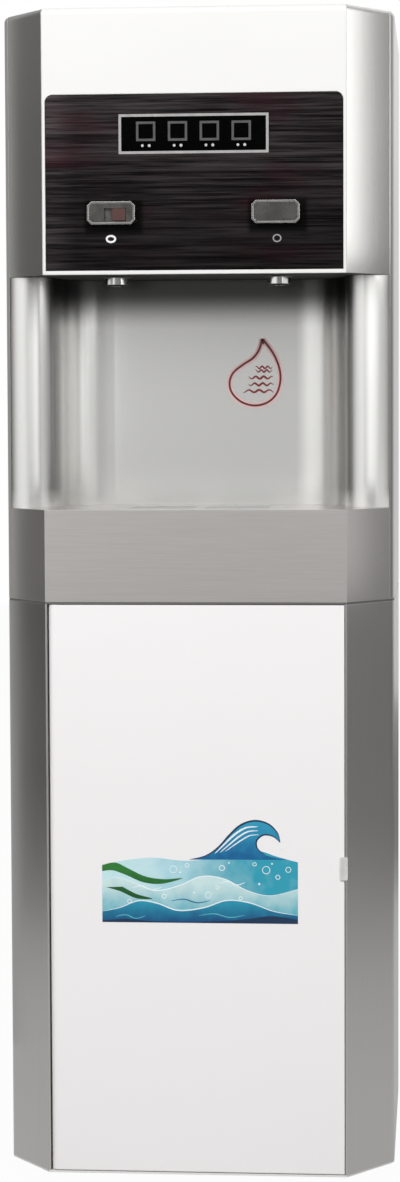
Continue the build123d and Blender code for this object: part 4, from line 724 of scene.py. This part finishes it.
def ink(name, colour, rough=0.45, other=None, low=0.0, high=1.0, axis="Z", patch=25.0):
    """Printed colour, mottled, that may turn into another across the print."""
    material, tree, shader = graph(name)
    mottle = span(tree, noise(tree, patch, detail=4.0), 0.3, 0.7)
    base = mix(tree, mottle, scaled(colour, 0.93), scaled(colour, 1.07))
    if other:
        across = span(tree, axis_value(tree, axis), low, high)
        shake = span(tree, noise(tree, patch * 2, detail=4.0), 0.3, 0.7, -0.15, 0.15)
        base = mix(tree, calc(tree, "ADD", across, shake), base, rgba(other))
    feed(tree, shader, {
        "Base Color": base,
        "Normal": embossed(tree, noise(tree, scale=1800.0, detail=2.0), 0.000006),
        "Roughness": rough,
    })
    return material


# Water drop printed on the back of the bay, with waves in it
red_ink = ink("red_ink", (0.17, 0.018, 0.024))
pink_ink = ink("pink_ink", (0.64, 0.41, 0.4))
maroon_ink = ink("maroon_ink", (0.075, 0.016, 0.021))
drop = smooth_curve([
    (50.4, 730.5), (57.6, 721.6), (62.8, 712.4), (66.1, 702.0), (66.3, 691.8), (62.8, 681.4),
    (54.8, 674.0), (43.6, 671.4), (32.2, 674.4), (23.8, 682.0), (21.2, 691.2), (24.4, 700.4),
    (33.4, 707.8), (42.2, 713.6), (47.6, 721.0), (50.4, 730.5),
])
drop_print = Print(BAY_BACK)
drop_print.stroke(drop, 4.8, 0.04, pink_ink)
drop_print.stroke(drop, 1.8, 0.08, maroon_ink)
wave_rise, wave_length, wave_steps = 1.1, 9.0, 28
for row, (x_low, x_high, z, width) in enumerate((
    (44.0, 59.5, 705.2, 1.5), (44.0, 59.5, 702.0, 1.5), (38.0, 60.0, 696.2, 1.9),
    (38.0, 60.5, 690.2, 1.9), (33.0, 61.0, 684.2, 1.9),
)):
    wave = [
        (x_low + (x_high - x_low) * k / wave_steps,
         z + wave_rise * math.sin(2 * math.pi * k / wave_length + row))
        for k in range(wave_steps + 1)
    ]
    drop_print.stroke(wave, width, 0.06, red_ink, taper=True)
drop_print.done("drop_print", "casing")

# Marks under the buttons and pips under the four squares of the display
white_ink = ink("white_ink", (0.8, 0.8, 0.79))
grey_ink = ink("grey_ink", (0.3, 0.3, 0.3))
pip_ink = ink("pip_ink", (0.5, 0.5, 0.49))
marks = Print(FRONT)
marks.ring(-70.6, 812.9, 3.6, 1.7, 0.08, white_ink, squash=0.72)
marks.ring(70.5, 812.5, 3.2, 1.1, 0.08, grey_ink, squash=0.9)
marks.done("key_marks", "casing")
pips = Print(FRONT)
for x in (-40.5, -13.5, 13.5, 40.5):
    pips.disc(x - 2.9, 891.2, 1.15, 0.08, pip_ink)
    pips.disc(x + 2.9, 891.2, 1.25, 0.08, pip_ink)
pips.done("display_pips", "casing")

# Label on the door: a breaking wave over swells, with bubbles and two green bands
label = Print(FRONT)
sky = ink(
    "label_sky", (0.58, 0.82, 0.86), 0.3, other=(0.03, 0.34, 0.46), low=-0.05, high=0.05,
    axis="X", patch=30.0,
)
foam_ink = ink(
    "label_foam", (0.62, 0.8, 0.8), 0.3, other=(0.06, 0.4, 0.5), low=0.262, high=0.232, patch=60.0,
)
sea = ink(
    "label_sea", (0.02, 0.3, 0.44), 0.3, other=(0.004, 0.07, 0.2), low=0.246, high=0.229, patch=50.0,
)
deep = ink("label_deep", (0.006, 0.03, 0.08), 0.3)
mid_blue = ink(
    "label_blue", (0.006, 0.12, 0.3), 0.3, other=(0.03, 0.32, 0.5), low=0.285, high=0.316, patch=60.0,
)
green = ink(
    "label_green", (0.005, 0.075, 0.014), 0.3, other=(0.03, 0.2, 0.035), low=0.25, high=0.28,
    patch=60.0,
)
bubble = ink("label_bubble", (0.8, 0.88, 0.9), 0.3)

label_low, label_left, label_right = 227.7, -81.5, 87.2
top_edge = smooth_curve([
    (label_right, 281.0), (70.0, 285.5), (52.0, 291.0), (34.0, 290.0), (14.0, 284.0),
    (-10.0, 281.5), (-38.0, 284.0), (-62.0, 281.5), (label_left, 277.5),
])
label.shape(top_edge + [(label_left, label_low), (label_right, label_low)], 0.10, sky)
crest = [
    (-6.0, 282.6), (8.0, 286.0), (19.0, 293.5), (28.0, 303.5), (38.0, 312.6), (50.0, 316.6),
    (61.5, 314.0), (69.5, 306.5), (72.0, 298.0), (66.0, 303.2), (58.0, 304.4), (52.0, 299.6),
    (52.6, 292.6), (59.0, 287.2), (70.0, 284.4), (80.0, 283.0),
]
label.shape(smooth_curve(crest), 0.12, mid_blue)
label.stroke(smooth_curve(crest[:9]), 1.6, 0.14, deep, taper=True)
label.stroke(smooth_curve(crest[8:14]), 1.3, 0.14, deep, taper=True)
for inset in (0.0, 1.0, 2.0):
    label.stroke(smooth_curve([
        (16.0 + 4.5 * inset, 288.0 + inset), (25.0 + 4.0 * inset, 297.0 - 0.6 * inset),
        (33.5 + 3.0 * inset, 305.0 - 2.4 * inset), (43.0 + 1.6 * inset, 310.6 - 3.4 * inset),
        (53.0 + 0.4 * inset, 311.4 - 3.4 * inset),
    ]), 1.7 - 0.3 * inset, 0.16, bubble, taper=True)
for x, z, radius in (
    (73.8, 292.6, 1.5), (70.4, 288.4, 1.1), (76.6, 288.0, 0.9), (66.2, 294.2, 0.8),
):
    label.disc(x, z, radius, 0.16, bubble, 14)
middle_wave = smooth_curve([
    (label_left, 262.0), (-70.0, 266.5), (-54.0, 262.0), (-36.0, 255.5), (-16.0, 259.5),
    (4.0, 268.0), (24.0, 266.0), (44.0, 256.0), (64.0, 252.0), (label_right, 258.0),
])
label.shape(middle_wave + [(label_right, label_low), (label_left, label_low)], 0.13, foam_ink)
low_wave = smooth_curve([
    (label_left, 237.0), (-66.0, 240.5), (-50.0, 246.5), (-34.0, 244.5), (-16.0, 238.5),
    (6.0, 241.0), (26.0, 247.5), (46.0, 245.5), (66.0, 238.5), (label_right, 235.0),
])
label.shape(low_wave + [(label_right, label_low), (label_left, label_low)], 0.16, sea)
label.stroke(low_wave, 1.1, 0.18, bubble, taper=True)
label.stroke(middle_wave, 0.9, 0.15, bubble, taper=True)
dark_swell = smooth_curve([
    (label_left, 229.2), (-60.0, 230.6), (-40.0, 229.0), (-10.0, 228.7), (20.0, 229.6),
    (44.0, 231.6), (62.0, 234.2), (76.0, 233.2), (label_right, 231.0),
])
label.shape(dark_swell + [(label_right, label_low), (label_left, label_low)], 0.18, deep)
green_band = smooth_curve([
    (label_left, 272.0), (-72.0, 272.6), (-60.0, 268.4), (-46.0, 262.6), (-30.0, 261.4), (-12.0, 266.4),
    (-28.0, 265.4), (-44.0, 267.6), (-58.0, 274.0), (-70.0, 279.4), (label_left, 277.2),
])
label.shape(green_band, 0.19, green)
green_low = smooth_curve([
    (-78.0, 258.0), (-66.0, 254.6), (-52.0, 248.6), (-38.0, 248.4), (-52.0, 252.4), (-64.0, 258.6),
])
label.shape(green_low, 0.19, green)
for x, z, radius in (
    (-20.0, 274.0, 3.0), (-8.0, 277.5, 1.7), (22.0, 275.5, 2.2), (60.0, 274.0, 3.2), (70.0, 268.0, 1.8),
    (50.0, 279.0, 1.5), (79.0, 274.5, 2.2), (-58.0, 246.0, 1.6), (10.0, 252.0, 2.6), (18.0, 258.5, 1.4),
    (-28.0, 250.5, 1.8), (38.0, 249.5, 1.4),
):
    label.ring(x, z, radius, 0.6, 0.21, bubble)
for x, z, radius in (
    (-14.0, 271.5, 0.9), (65.0, 279.5, 0.8), (28.0, 280.0, 0.7), (-2.0, 254.0, 0.9), (54.0, 262.0, 1.0),
):
    label.disc(x, z, radius, 0.2, bubble, 12)
for x, z, length, shade in (
    (-56.0, 257.6, 26.0, bubble), (-22.0, 246.6, 34.0, mid_blue), (20.0, 262.4, 22.0, bubble),
    (2.0, 234.2, 40.0, foam_ink), (-70.0, 232.6, 26.0, foam_ink),
):
    ripple = [(x, z), (x + length / 3, z + 1.6), (x + 2 * length / 3, z - 1.4), (x + length, z + 0.8)]
    label.stroke(smooth_curve(ripple), 1.0, 0.2, shade, taper=True)
label.done("door_label", "door")


# Return springs of the two buttons, drawn at rest; the real ones close up as their button goes in
WIRE = 0.0009
COILS = 6
WIRE_SIDES = 10
STEPS_EACH_TURN = 28
FLAT_SHARE = 0.6


def spring_mesh(name, low, high):
    """Wire wound round the Y axis of a box, with its two end turns laid flat."""
    mesh = bmesh.new()
    middle_x, middle_z = (low.x + high.x) / 2, (low.z + high.z) / 2
    radius = min(high.x - low.x, high.z - low.z) / 2 - WIRE / 2
    first, length = low.y + WIRE / 2, high.y - low.y - WIRE
    steps = STEPS_EACH_TURN * COILS
    rings = []
    for step in range(steps + 1):
        share = step / steps
        angle = 2 * math.pi * COILS * share
        rise = min(max((share * COILS - FLAT_SHARE) / (COILS - 2 * FLAT_SHARE), 0.0), 1.0)
        outward = Vector((math.cos(angle), 0.0, math.sin(angle)))
        middle = Vector((middle_x, first + length * rise, middle_z)) + radius * outward
        ring = []
        for k in range(WIRE_SIDES):
            side = 2 * math.pi * k / WIRE_SIDES
            offset = math.cos(side) * outward + math.sin(side) * Vector((0.0, 1.0, 0.0))
            ring.append(mesh.verts.new(middle + WIRE / 2 * offset))
        rings.append(ring)
    for a, b in zip(rings, rings[1:]):
        for k in range(WIRE_SIDES):
            j = (k + 1) % WIRE_SIDES
            mesh.faces.new((a[k], a[j], b[j], b[k]))
    mesh.faces.new(rings[0][::-1])
    mesh.faces.new(rings[-1])
    return finished(name, mesh, smooth=True)


for side in ("hot", "cold"):
    low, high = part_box(f"{side}_button_spring")
    data = spring_mesh(f"{side}_button_coil", low, high)
    data.materials.append(spring_steel)
    coil = add_object(f"{side}_button_coil", data)
    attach(coil, "casing")
    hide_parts(f"{side}_button_spring")
    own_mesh(coil)

# Small screws that hold the rear panel, with cross slots
SCREW_RADIUS, SCREW_HEIGHT = 0.0034, 0.0016
SCREW_INSET = 0.006
SCREW_SINK = 0.0001
SCREW_SHARES = (0.03, 0.22, 0.41, 0.6, 0.79, 0.965)
# Shares of the screw's radius and height: the dome's rows, then the slot's edge and its floor
DOME = ((1.0, 0.0), (1.0, 0.35), (0.93, 0.65), (0.75, 0.88), (0.45, 1.0))
SLOT_EDGE, SLOT_LIP, SLOT_TAPER, SLOT_FLOOR = 0.55, 1.02, 0.9, 0.45


def screw_mesh(name, radius, height):
    """Pan head with a domed top and a cross slot, its axis along +Y."""
    mesh = bmesh.new()
    count = 24
    rings = [
        [mesh.verts.new((x, rise * height, z)) for x, z in circle(0.0, 0.0, radius * share, count)]
        for share, rise in DOME
    ]
    for low, high in zip(rings, rings[1:]):
        for k in range(count):
            j = (k + 1) % count
            mesh.faces.new((low[k], high[k], high[j], low[j]))
    inner = []
    for k, v in enumerate(rings[-1]):
        rise = height * (1.0 if k % 6 in (0, 1, 5) else SLOT_LIP)
        inner.append(mesh.verts.new((v.co.x * SLOT_EDGE, rise, v.co.z * SLOT_EDGE)))
    floor = [
        mesh.verts.new((v.co.x * SLOT_TAPER, height * SLOT_FLOOR, v.co.z * SLOT_TAPER)) for v in inner
    ]
    for outer_row, inner_row in ((rings[-1], inner), (inner, floor)):
        for k in range(count):
            j = (k + 1) % count
            mesh.faces.new((outer_row[k], inner_row[k], inner_row[j], outer_row[j]))
    mesh.faces.new(floor[::-1])
    mesh.faces.new(rings[0])
    return finished(name, mesh, smooth=True)


screw_data = screw_mesh("rear_screw", SCREW_RADIUS, SCREW_HEIGHT)
screw_data.materials.append(spring_steel)
rear_low, rear_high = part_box("rear_panel")
screw_places = [
    (side * (rear_high.x - SCREW_INSET), rear_low.z + share * (rear_high.z - rear_low.z))
    for side in (-1, 1) for share in SCREW_SHARES
]
for i, (x, z) in enumerate(screw_places):
    screw = add_object(f"rear_screw_{i + 1:02d}", screw_data)
    screw.location = (x, REAR - SCREW_SINK, z)
    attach(screw, "casing")


# Studio: floor, pale surroundings, cards that the silver mirrors, and soft lamps

def light_path_mask(tree, names):
    """1 on the rays of the named kinds, 0 on the others."""
    path = put(tree, "LightPath")
    total = path.outputs[names[0]]
    for name in names[1:]:
        total = calc(tree, "ADD", total, path.outputs[name])
    return span(tree, total, 0.0, 1.0)


def studio_mesh(name, points, faces, material):
    data = bpy.data.meshes.new(name)
    data.from_pydata(points, [], faces)
    data.materials.append(material)
    obj = add_object(name, data)
    return obj


def card_glow(name, one_sided=False):
    """Light of a card, as strong at each point as its mesh says."""
    material = bpy.data.materials.new(name)
    tree = bare_tree(material)
    level = put(tree, "Attribute", attribute_type="GEOMETRY", attribute_name="level")
    glow = put(tree, "Emission", {"Color": (1, 1, 1, 1), "Strength": level.outputs["Fac"]})
    if one_sided:
        behind = put(tree, "NewGeometry").outputs["Backfacing"]
        clear = put(tree, "BsdfTransparent")
        glow = put(tree, "MixShader", {0: behind, 1: glow.outputs[0], 2: clear.outputs[0]})
    put(tree, "OutputMaterial", {0: glow.outputs[0]})
    material.cycles.emission_sampling = "NONE"
    return material


GLOW = card_glow("card_glow")
GLOW_ONE_SIDE = card_glow("card_glow_one_side", one_sided=True)


def card(name, columns, rows, point, levels, look=GLOW):
    """Card that shows in reflections alone; its level shades over a grid of columns and rows."""
    count = len(columns)
    points = [point(column, row) for row in rows for column in columns]
    faces = [
        (r * count + c, r * count + c + 1, (r + 1) * count + c + 1, (r + 1) * count + c)
        for r in range(len(rows) - 1) for c in range(count - 1)
    ]
    obj = studio_mesh(name, points, faces, look)
    attribute = obj.data.attributes.new("level", "FLOAT", "POINT")
    attribute.data.foreach_set("value", [levels[c][r] for r in range(len(rows)) for c in range(count)])
    obj.visible_camera = False
    obj.visible_diffuse = False
    obj.visible_transmission = False
    obj.visible_shadow = False


RING = 4.0


def on_ring(azimuth, z, radius=RING):
    """Point at an azimuth in degrees, counted from the front towards +X."""
    turn = math.radians(azimuth)
    return (radius * math.sin(turn), -radius * math.cos(turn), z)


# Floor: plain grey to soft light, pale to the camera, and half as pale in the silver
FLOOR_GREY, FLOOR_SEEN, FLOOR_MIRRORED = 0.35, 0.97, 0.48
FLOOR_HALF = 7

floor_look = bpy.data.materials.new("floor")
floor_tree = bare_tree(floor_look)
matte = put(floor_tree, "BsdfDiffuse", {"Color": (FLOOR_GREY, FLOOR_GREY, FLOOR_GREY, 1)})
bright = put(floor_tree, "Emission", {"Color": (1, 1, 1, 1), "Strength": 1.0})
seen = product(floor_tree, light_path_mask(floor_tree, ["Is Camera Ray"]), FLOOR_SEEN)
mirrored = light_path_mask(floor_tree, ["Is Glossy Ray", "Is Transmission Ray"])
seen = calc(floor_tree, "ADD", seen, product(floor_tree, mirrored, FLOOR_MIRRORED))
floor_mix = put(floor_tree, "MixShader", {0: seen, 1: matte.outputs[0], 2: bright.outputs[0]})
put(floor_tree, "OutputMaterial", {0: floor_mix.outputs[0]})
corners = [(-1, -1), (1, -1), (1, 1), (-1, 1)]
studio_mesh("floor", [(FLOOR_HALF * x, FLOOR_HALF * y, 0) for x, y in corners], [(0, 1, 2, 3)], floor_look)

# Surroundings: at each azimuth, the level at the heights of RING_ROWS
RING_ROWS = (0.0, 0.5, 0.8, 0.95, 1.4, 2.2, 4.7)
SURROUNDINGS = (
    (-180, (0.8, 0.8, 0.8, 0.8, 0.9, 1.0, 1.0)),
    (-132, (0.8, 0.8, 0.8, 0.8, 0.9, 1.0, 1.0)),
    (-124, (0.04, 0.04, 0.04, 0.04, 0.08, 0.15, 0.2)),
    (-100, (0.04, 0.04, 0.04, 0.04, 0.08, 0.15, 0.2)),
    (-90, (0.5, 0.5, 0.5, 0.5, 0.7, 1.0, 1.0)),
    (-60, (0.9, 1.0, 1.0, 0.9, 1.2, 1.8, 2.2)),
    (-30, (0.9, 1.1, 1.1, 0.9, 1.3, 2.2, 2.6)),
    (-11, (0.7, 0.85, 1.05, 0.15, 0.6, 2.2, 2.8)),
    (-4, (0.48, 0.55, 0.78, 0.04, 0.5, 2.2, 2.8)),
    (5, (0.6, 0.68, 0.9, 0.06, 0.5, 2.2, 2.8)),
    (18, (0.5, 0.6, 0.6, 0.1, 0.6, 2.0, 2.8)),
    (36, (0.5, 0.5, 0.5, 0.1, 0.5, 1.8, 2.8)),
    (60, (0.6, 0.75, 0.75, 0.2, 0.7, 1.6, 2.6)),
    (80, (0.8, 1.0, 1.0, 0.5, 0.8, 1.2, 1.6)),
    (98, (0.14, 0.18, 0.2, 0.22, 0.3, 0.4, 0.5)),
    (122, (0.14, 0.18, 0.2, 0.22, 0.3, 0.4, 0.5)),
    (130, (0.8, 0.8, 0.8, 0.8, 1.0, 1.2, 1.2)),
    (180, (0.8, 0.8, 0.8, 0.8, 1.0, 1.2, 1.2)),
)
CARD_STEP = 6
azimuths, levels = [], []
for (low, low_levels), (high, high_levels) in zip(SURROUNDINGS, SURROUNDINGS[1:]):
    steps = max(1, round((high - low) / CARD_STEP))
    for step in range(steps):
        share = step / steps
        azimuths.append(low + share * (high - low))
        levels.append([a + share * (b - a) for a, b in zip(low_levels, high_levels)])
azimuths.append(SURROUNDINGS[-1][0])
levels.append(SURROUNDINGS[-1][1])
card("surroundings", azimuths, RING_ROWS, on_ring, levels)

# Far floor, just over the floor: how it shows in the silver, darkest at the rear left
FAR_FLOOR = (-180, -140, -130, -95, -85, -40, 0, 40, 80, 120, 150, 180)
FAR_FLOOR_RADII = (1.35, 1.8, RING)
FAR_FLOOR_RISE = 0.002
OPEN_LEVELS, DARK_LEVELS = (0.48, 0.12, 0.12), (0.3, 0.04, 0.03)
DARK_AZIMUTHS = (-130, -95)
card(
    "far_floor", FAR_FLOOR, FAR_FLOOR_RADII,
    lambda azimuth, radius: on_ring(azimuth, FAR_FLOOR_RISE, radius),
    [DARK_LEVELS if azimuth in DARK_AZIMUTHS else OPEN_LEVELS for azimuth in FAR_FLOOR],
)

# Planes that the close cards stand in
CORNER_CARD_X = 0.3
STRIP_CARD_X = -0.2
EDGE_CARD_Y = -0.172
COVE_CARD_X = 0.1195

# Close card beside the right corner, brightest at the head, so that the corner shades across
card(
    "corner_card", (-0.5, -0.112), (0.5, 0.62, 0.621, 0.8, 0.801, 1.25),
    lambda y, z: (CORNER_CARD_X, y, z), [(0.8, 0.8, 0.7, 0.7, 2.8, 2.8)] * 2,
)
# Card close beside the left corner, that lights its outermost strip
card(
    "strip_card", (-0.1075, 0.1), (0.1, 0.5, 0.505, 1.25),
    lambda y, z: (STRIP_CARD_X, y, z), [(0.5, 0.42, 0.42, 0.42)] * 2,
)
# Slim cards in front of the two rounded edges of the bay
EDGE_ROWS = (0.6, 0.68, 0.73, 0.75, 0.765, 0.785)
for name, columns, fade in (
    ("left_card", ((-0.155, 0.85), (-0.135, 0.95), (-0.12, 1.25), (-0.1, 1.1)),
     (0.8, 0.95, 1.0, 0.85, 0.6, 0.2)),
    ("right_card", ((0.118, 0.8), (0.147, 1.5), (0.17, 1.3), (0.2, 0.8)),
     (0.8, 0.9, 1.0, 1.0, 0.95, 0.6)),
):
    card(
        name, [x for x, level in columns], EDGE_ROWS, lambda x, z: (x, EDGE_CARD_Y, z),
        [[level * share for share in fade] for x, level in columns],
    )
# Card on the inner face of the right edge, that lights the bay's left cove alone
card(
    "cove_card", (-0.048, -0.06, -0.1, -0.116), (0.6, 0.7, 0.75, 0.775),
    lambda y, z: (COVE_CARD_X, y, z), [(1.0, 1.25, 1.0, 0.3)] * 4, GLOW_ONE_SIDE,
)

# World: white to the camera and in reflections, and a soft light on the object
WORLD_SEEN, WORLD_LIGHT = 1.0, 0.22
world = bpy.data.worlds.new("studio")
bpy.context.scene.world = world
world_tree = bare_tree(world)
pale = put(world_tree, "Background", {"Color": (1, 1, 1, 1), "Strength": WORLD_SEEN})
soft = put(world_tree, "Background", {"Color": (1, 1, 1, 1), "Strength": WORLD_LIGHT})
path_mask = light_path_mask(world_tree, ["Is Camera Ray", "Is Glossy Ray", "Is Transmission Ray"])
world_mix = put(world_tree, "MixShader", {0: path_mask, 1: soft.outputs[0], 2: pale.outputs[0]})
put(world_tree, "OutputWorld", {0: world_mix.outputs[0]})


def lamp(name, stand, target, width, power):
    """Square lamp that shows neither to the camera nor in the silver."""
    data = bpy.data.lights.new(name, "AREA")
    data.shape = "RECTANGLE"
    data.size = data.size_y = width
    data.energy = power
    obj = add_object(name, data)
    obj.location = stand
    direction = Vector(target) - Vector(stand)
    obj.rotation_euler = direction.to_track_quat("-Z", "Y").to_euler()
    obj.visible_camera = False
    obj.visible_glossy = False


lamp("key_lamp", stand=(-0.8, -2.6, 2.2), target=(0, 0, 0.5), width=1.1, power=58.0)
lamp("fill_lamp", stand=(1.2, -2.7, 1.8), target=(0, 0, 0.4), width=1.1, power=35.0)
lamp("rear_lamp", stand=(-0.6, 2.6, 2.2), target=(0, 0, 0.6), width=1.8, power=34.0)

# Camera at the photograph's place, with the photograph's angle of view
PHOTO_HEIGHT = 1182.0
FOCAL_PIXELS = 2876.205
SENSOR = 36.0
CAMERA_PLACE = (0.20583, -2.60562, 0.67210)
YAW, PITCH, ROLL = 0.0825, 0.0646, -0.004

ahead = Vector((-math.sin(YAW) * math.cos(PITCH), math.cos(YAW) * math.cos(PITCH), -math.sin(PITCH)))
level_right = Vector((math.cos(YAW), math.sin(YAW), 0.0))
level_up = level_right.cross(ahead)
right = math.cos(ROLL) * level_right + math.sin(ROLL) * level_up
up = -math.sin(ROLL) * level_right + math.cos(ROLL) * level_up
camera_data = bpy.data.cameras.new("camera")
camera_data.sensor_fit = "VERTICAL"
camera_data.sensor_height = SENSOR
camera_data.sensor_width = SENSOR
camera_data.lens = FOCAL_PIXELS * SENSOR / PHOTO_HEIGHT
camera = add_object("camera", camera_data)
turn = Matrix((right, up, -ahead)).transposed().to_4x4()
camera.matrix_world = Matrix.Translation(CAMERA_PLACE) @ turn
bpy.context.scene.camera = camera

bpy.context.scene.view_settings.view_transform = "Standard"
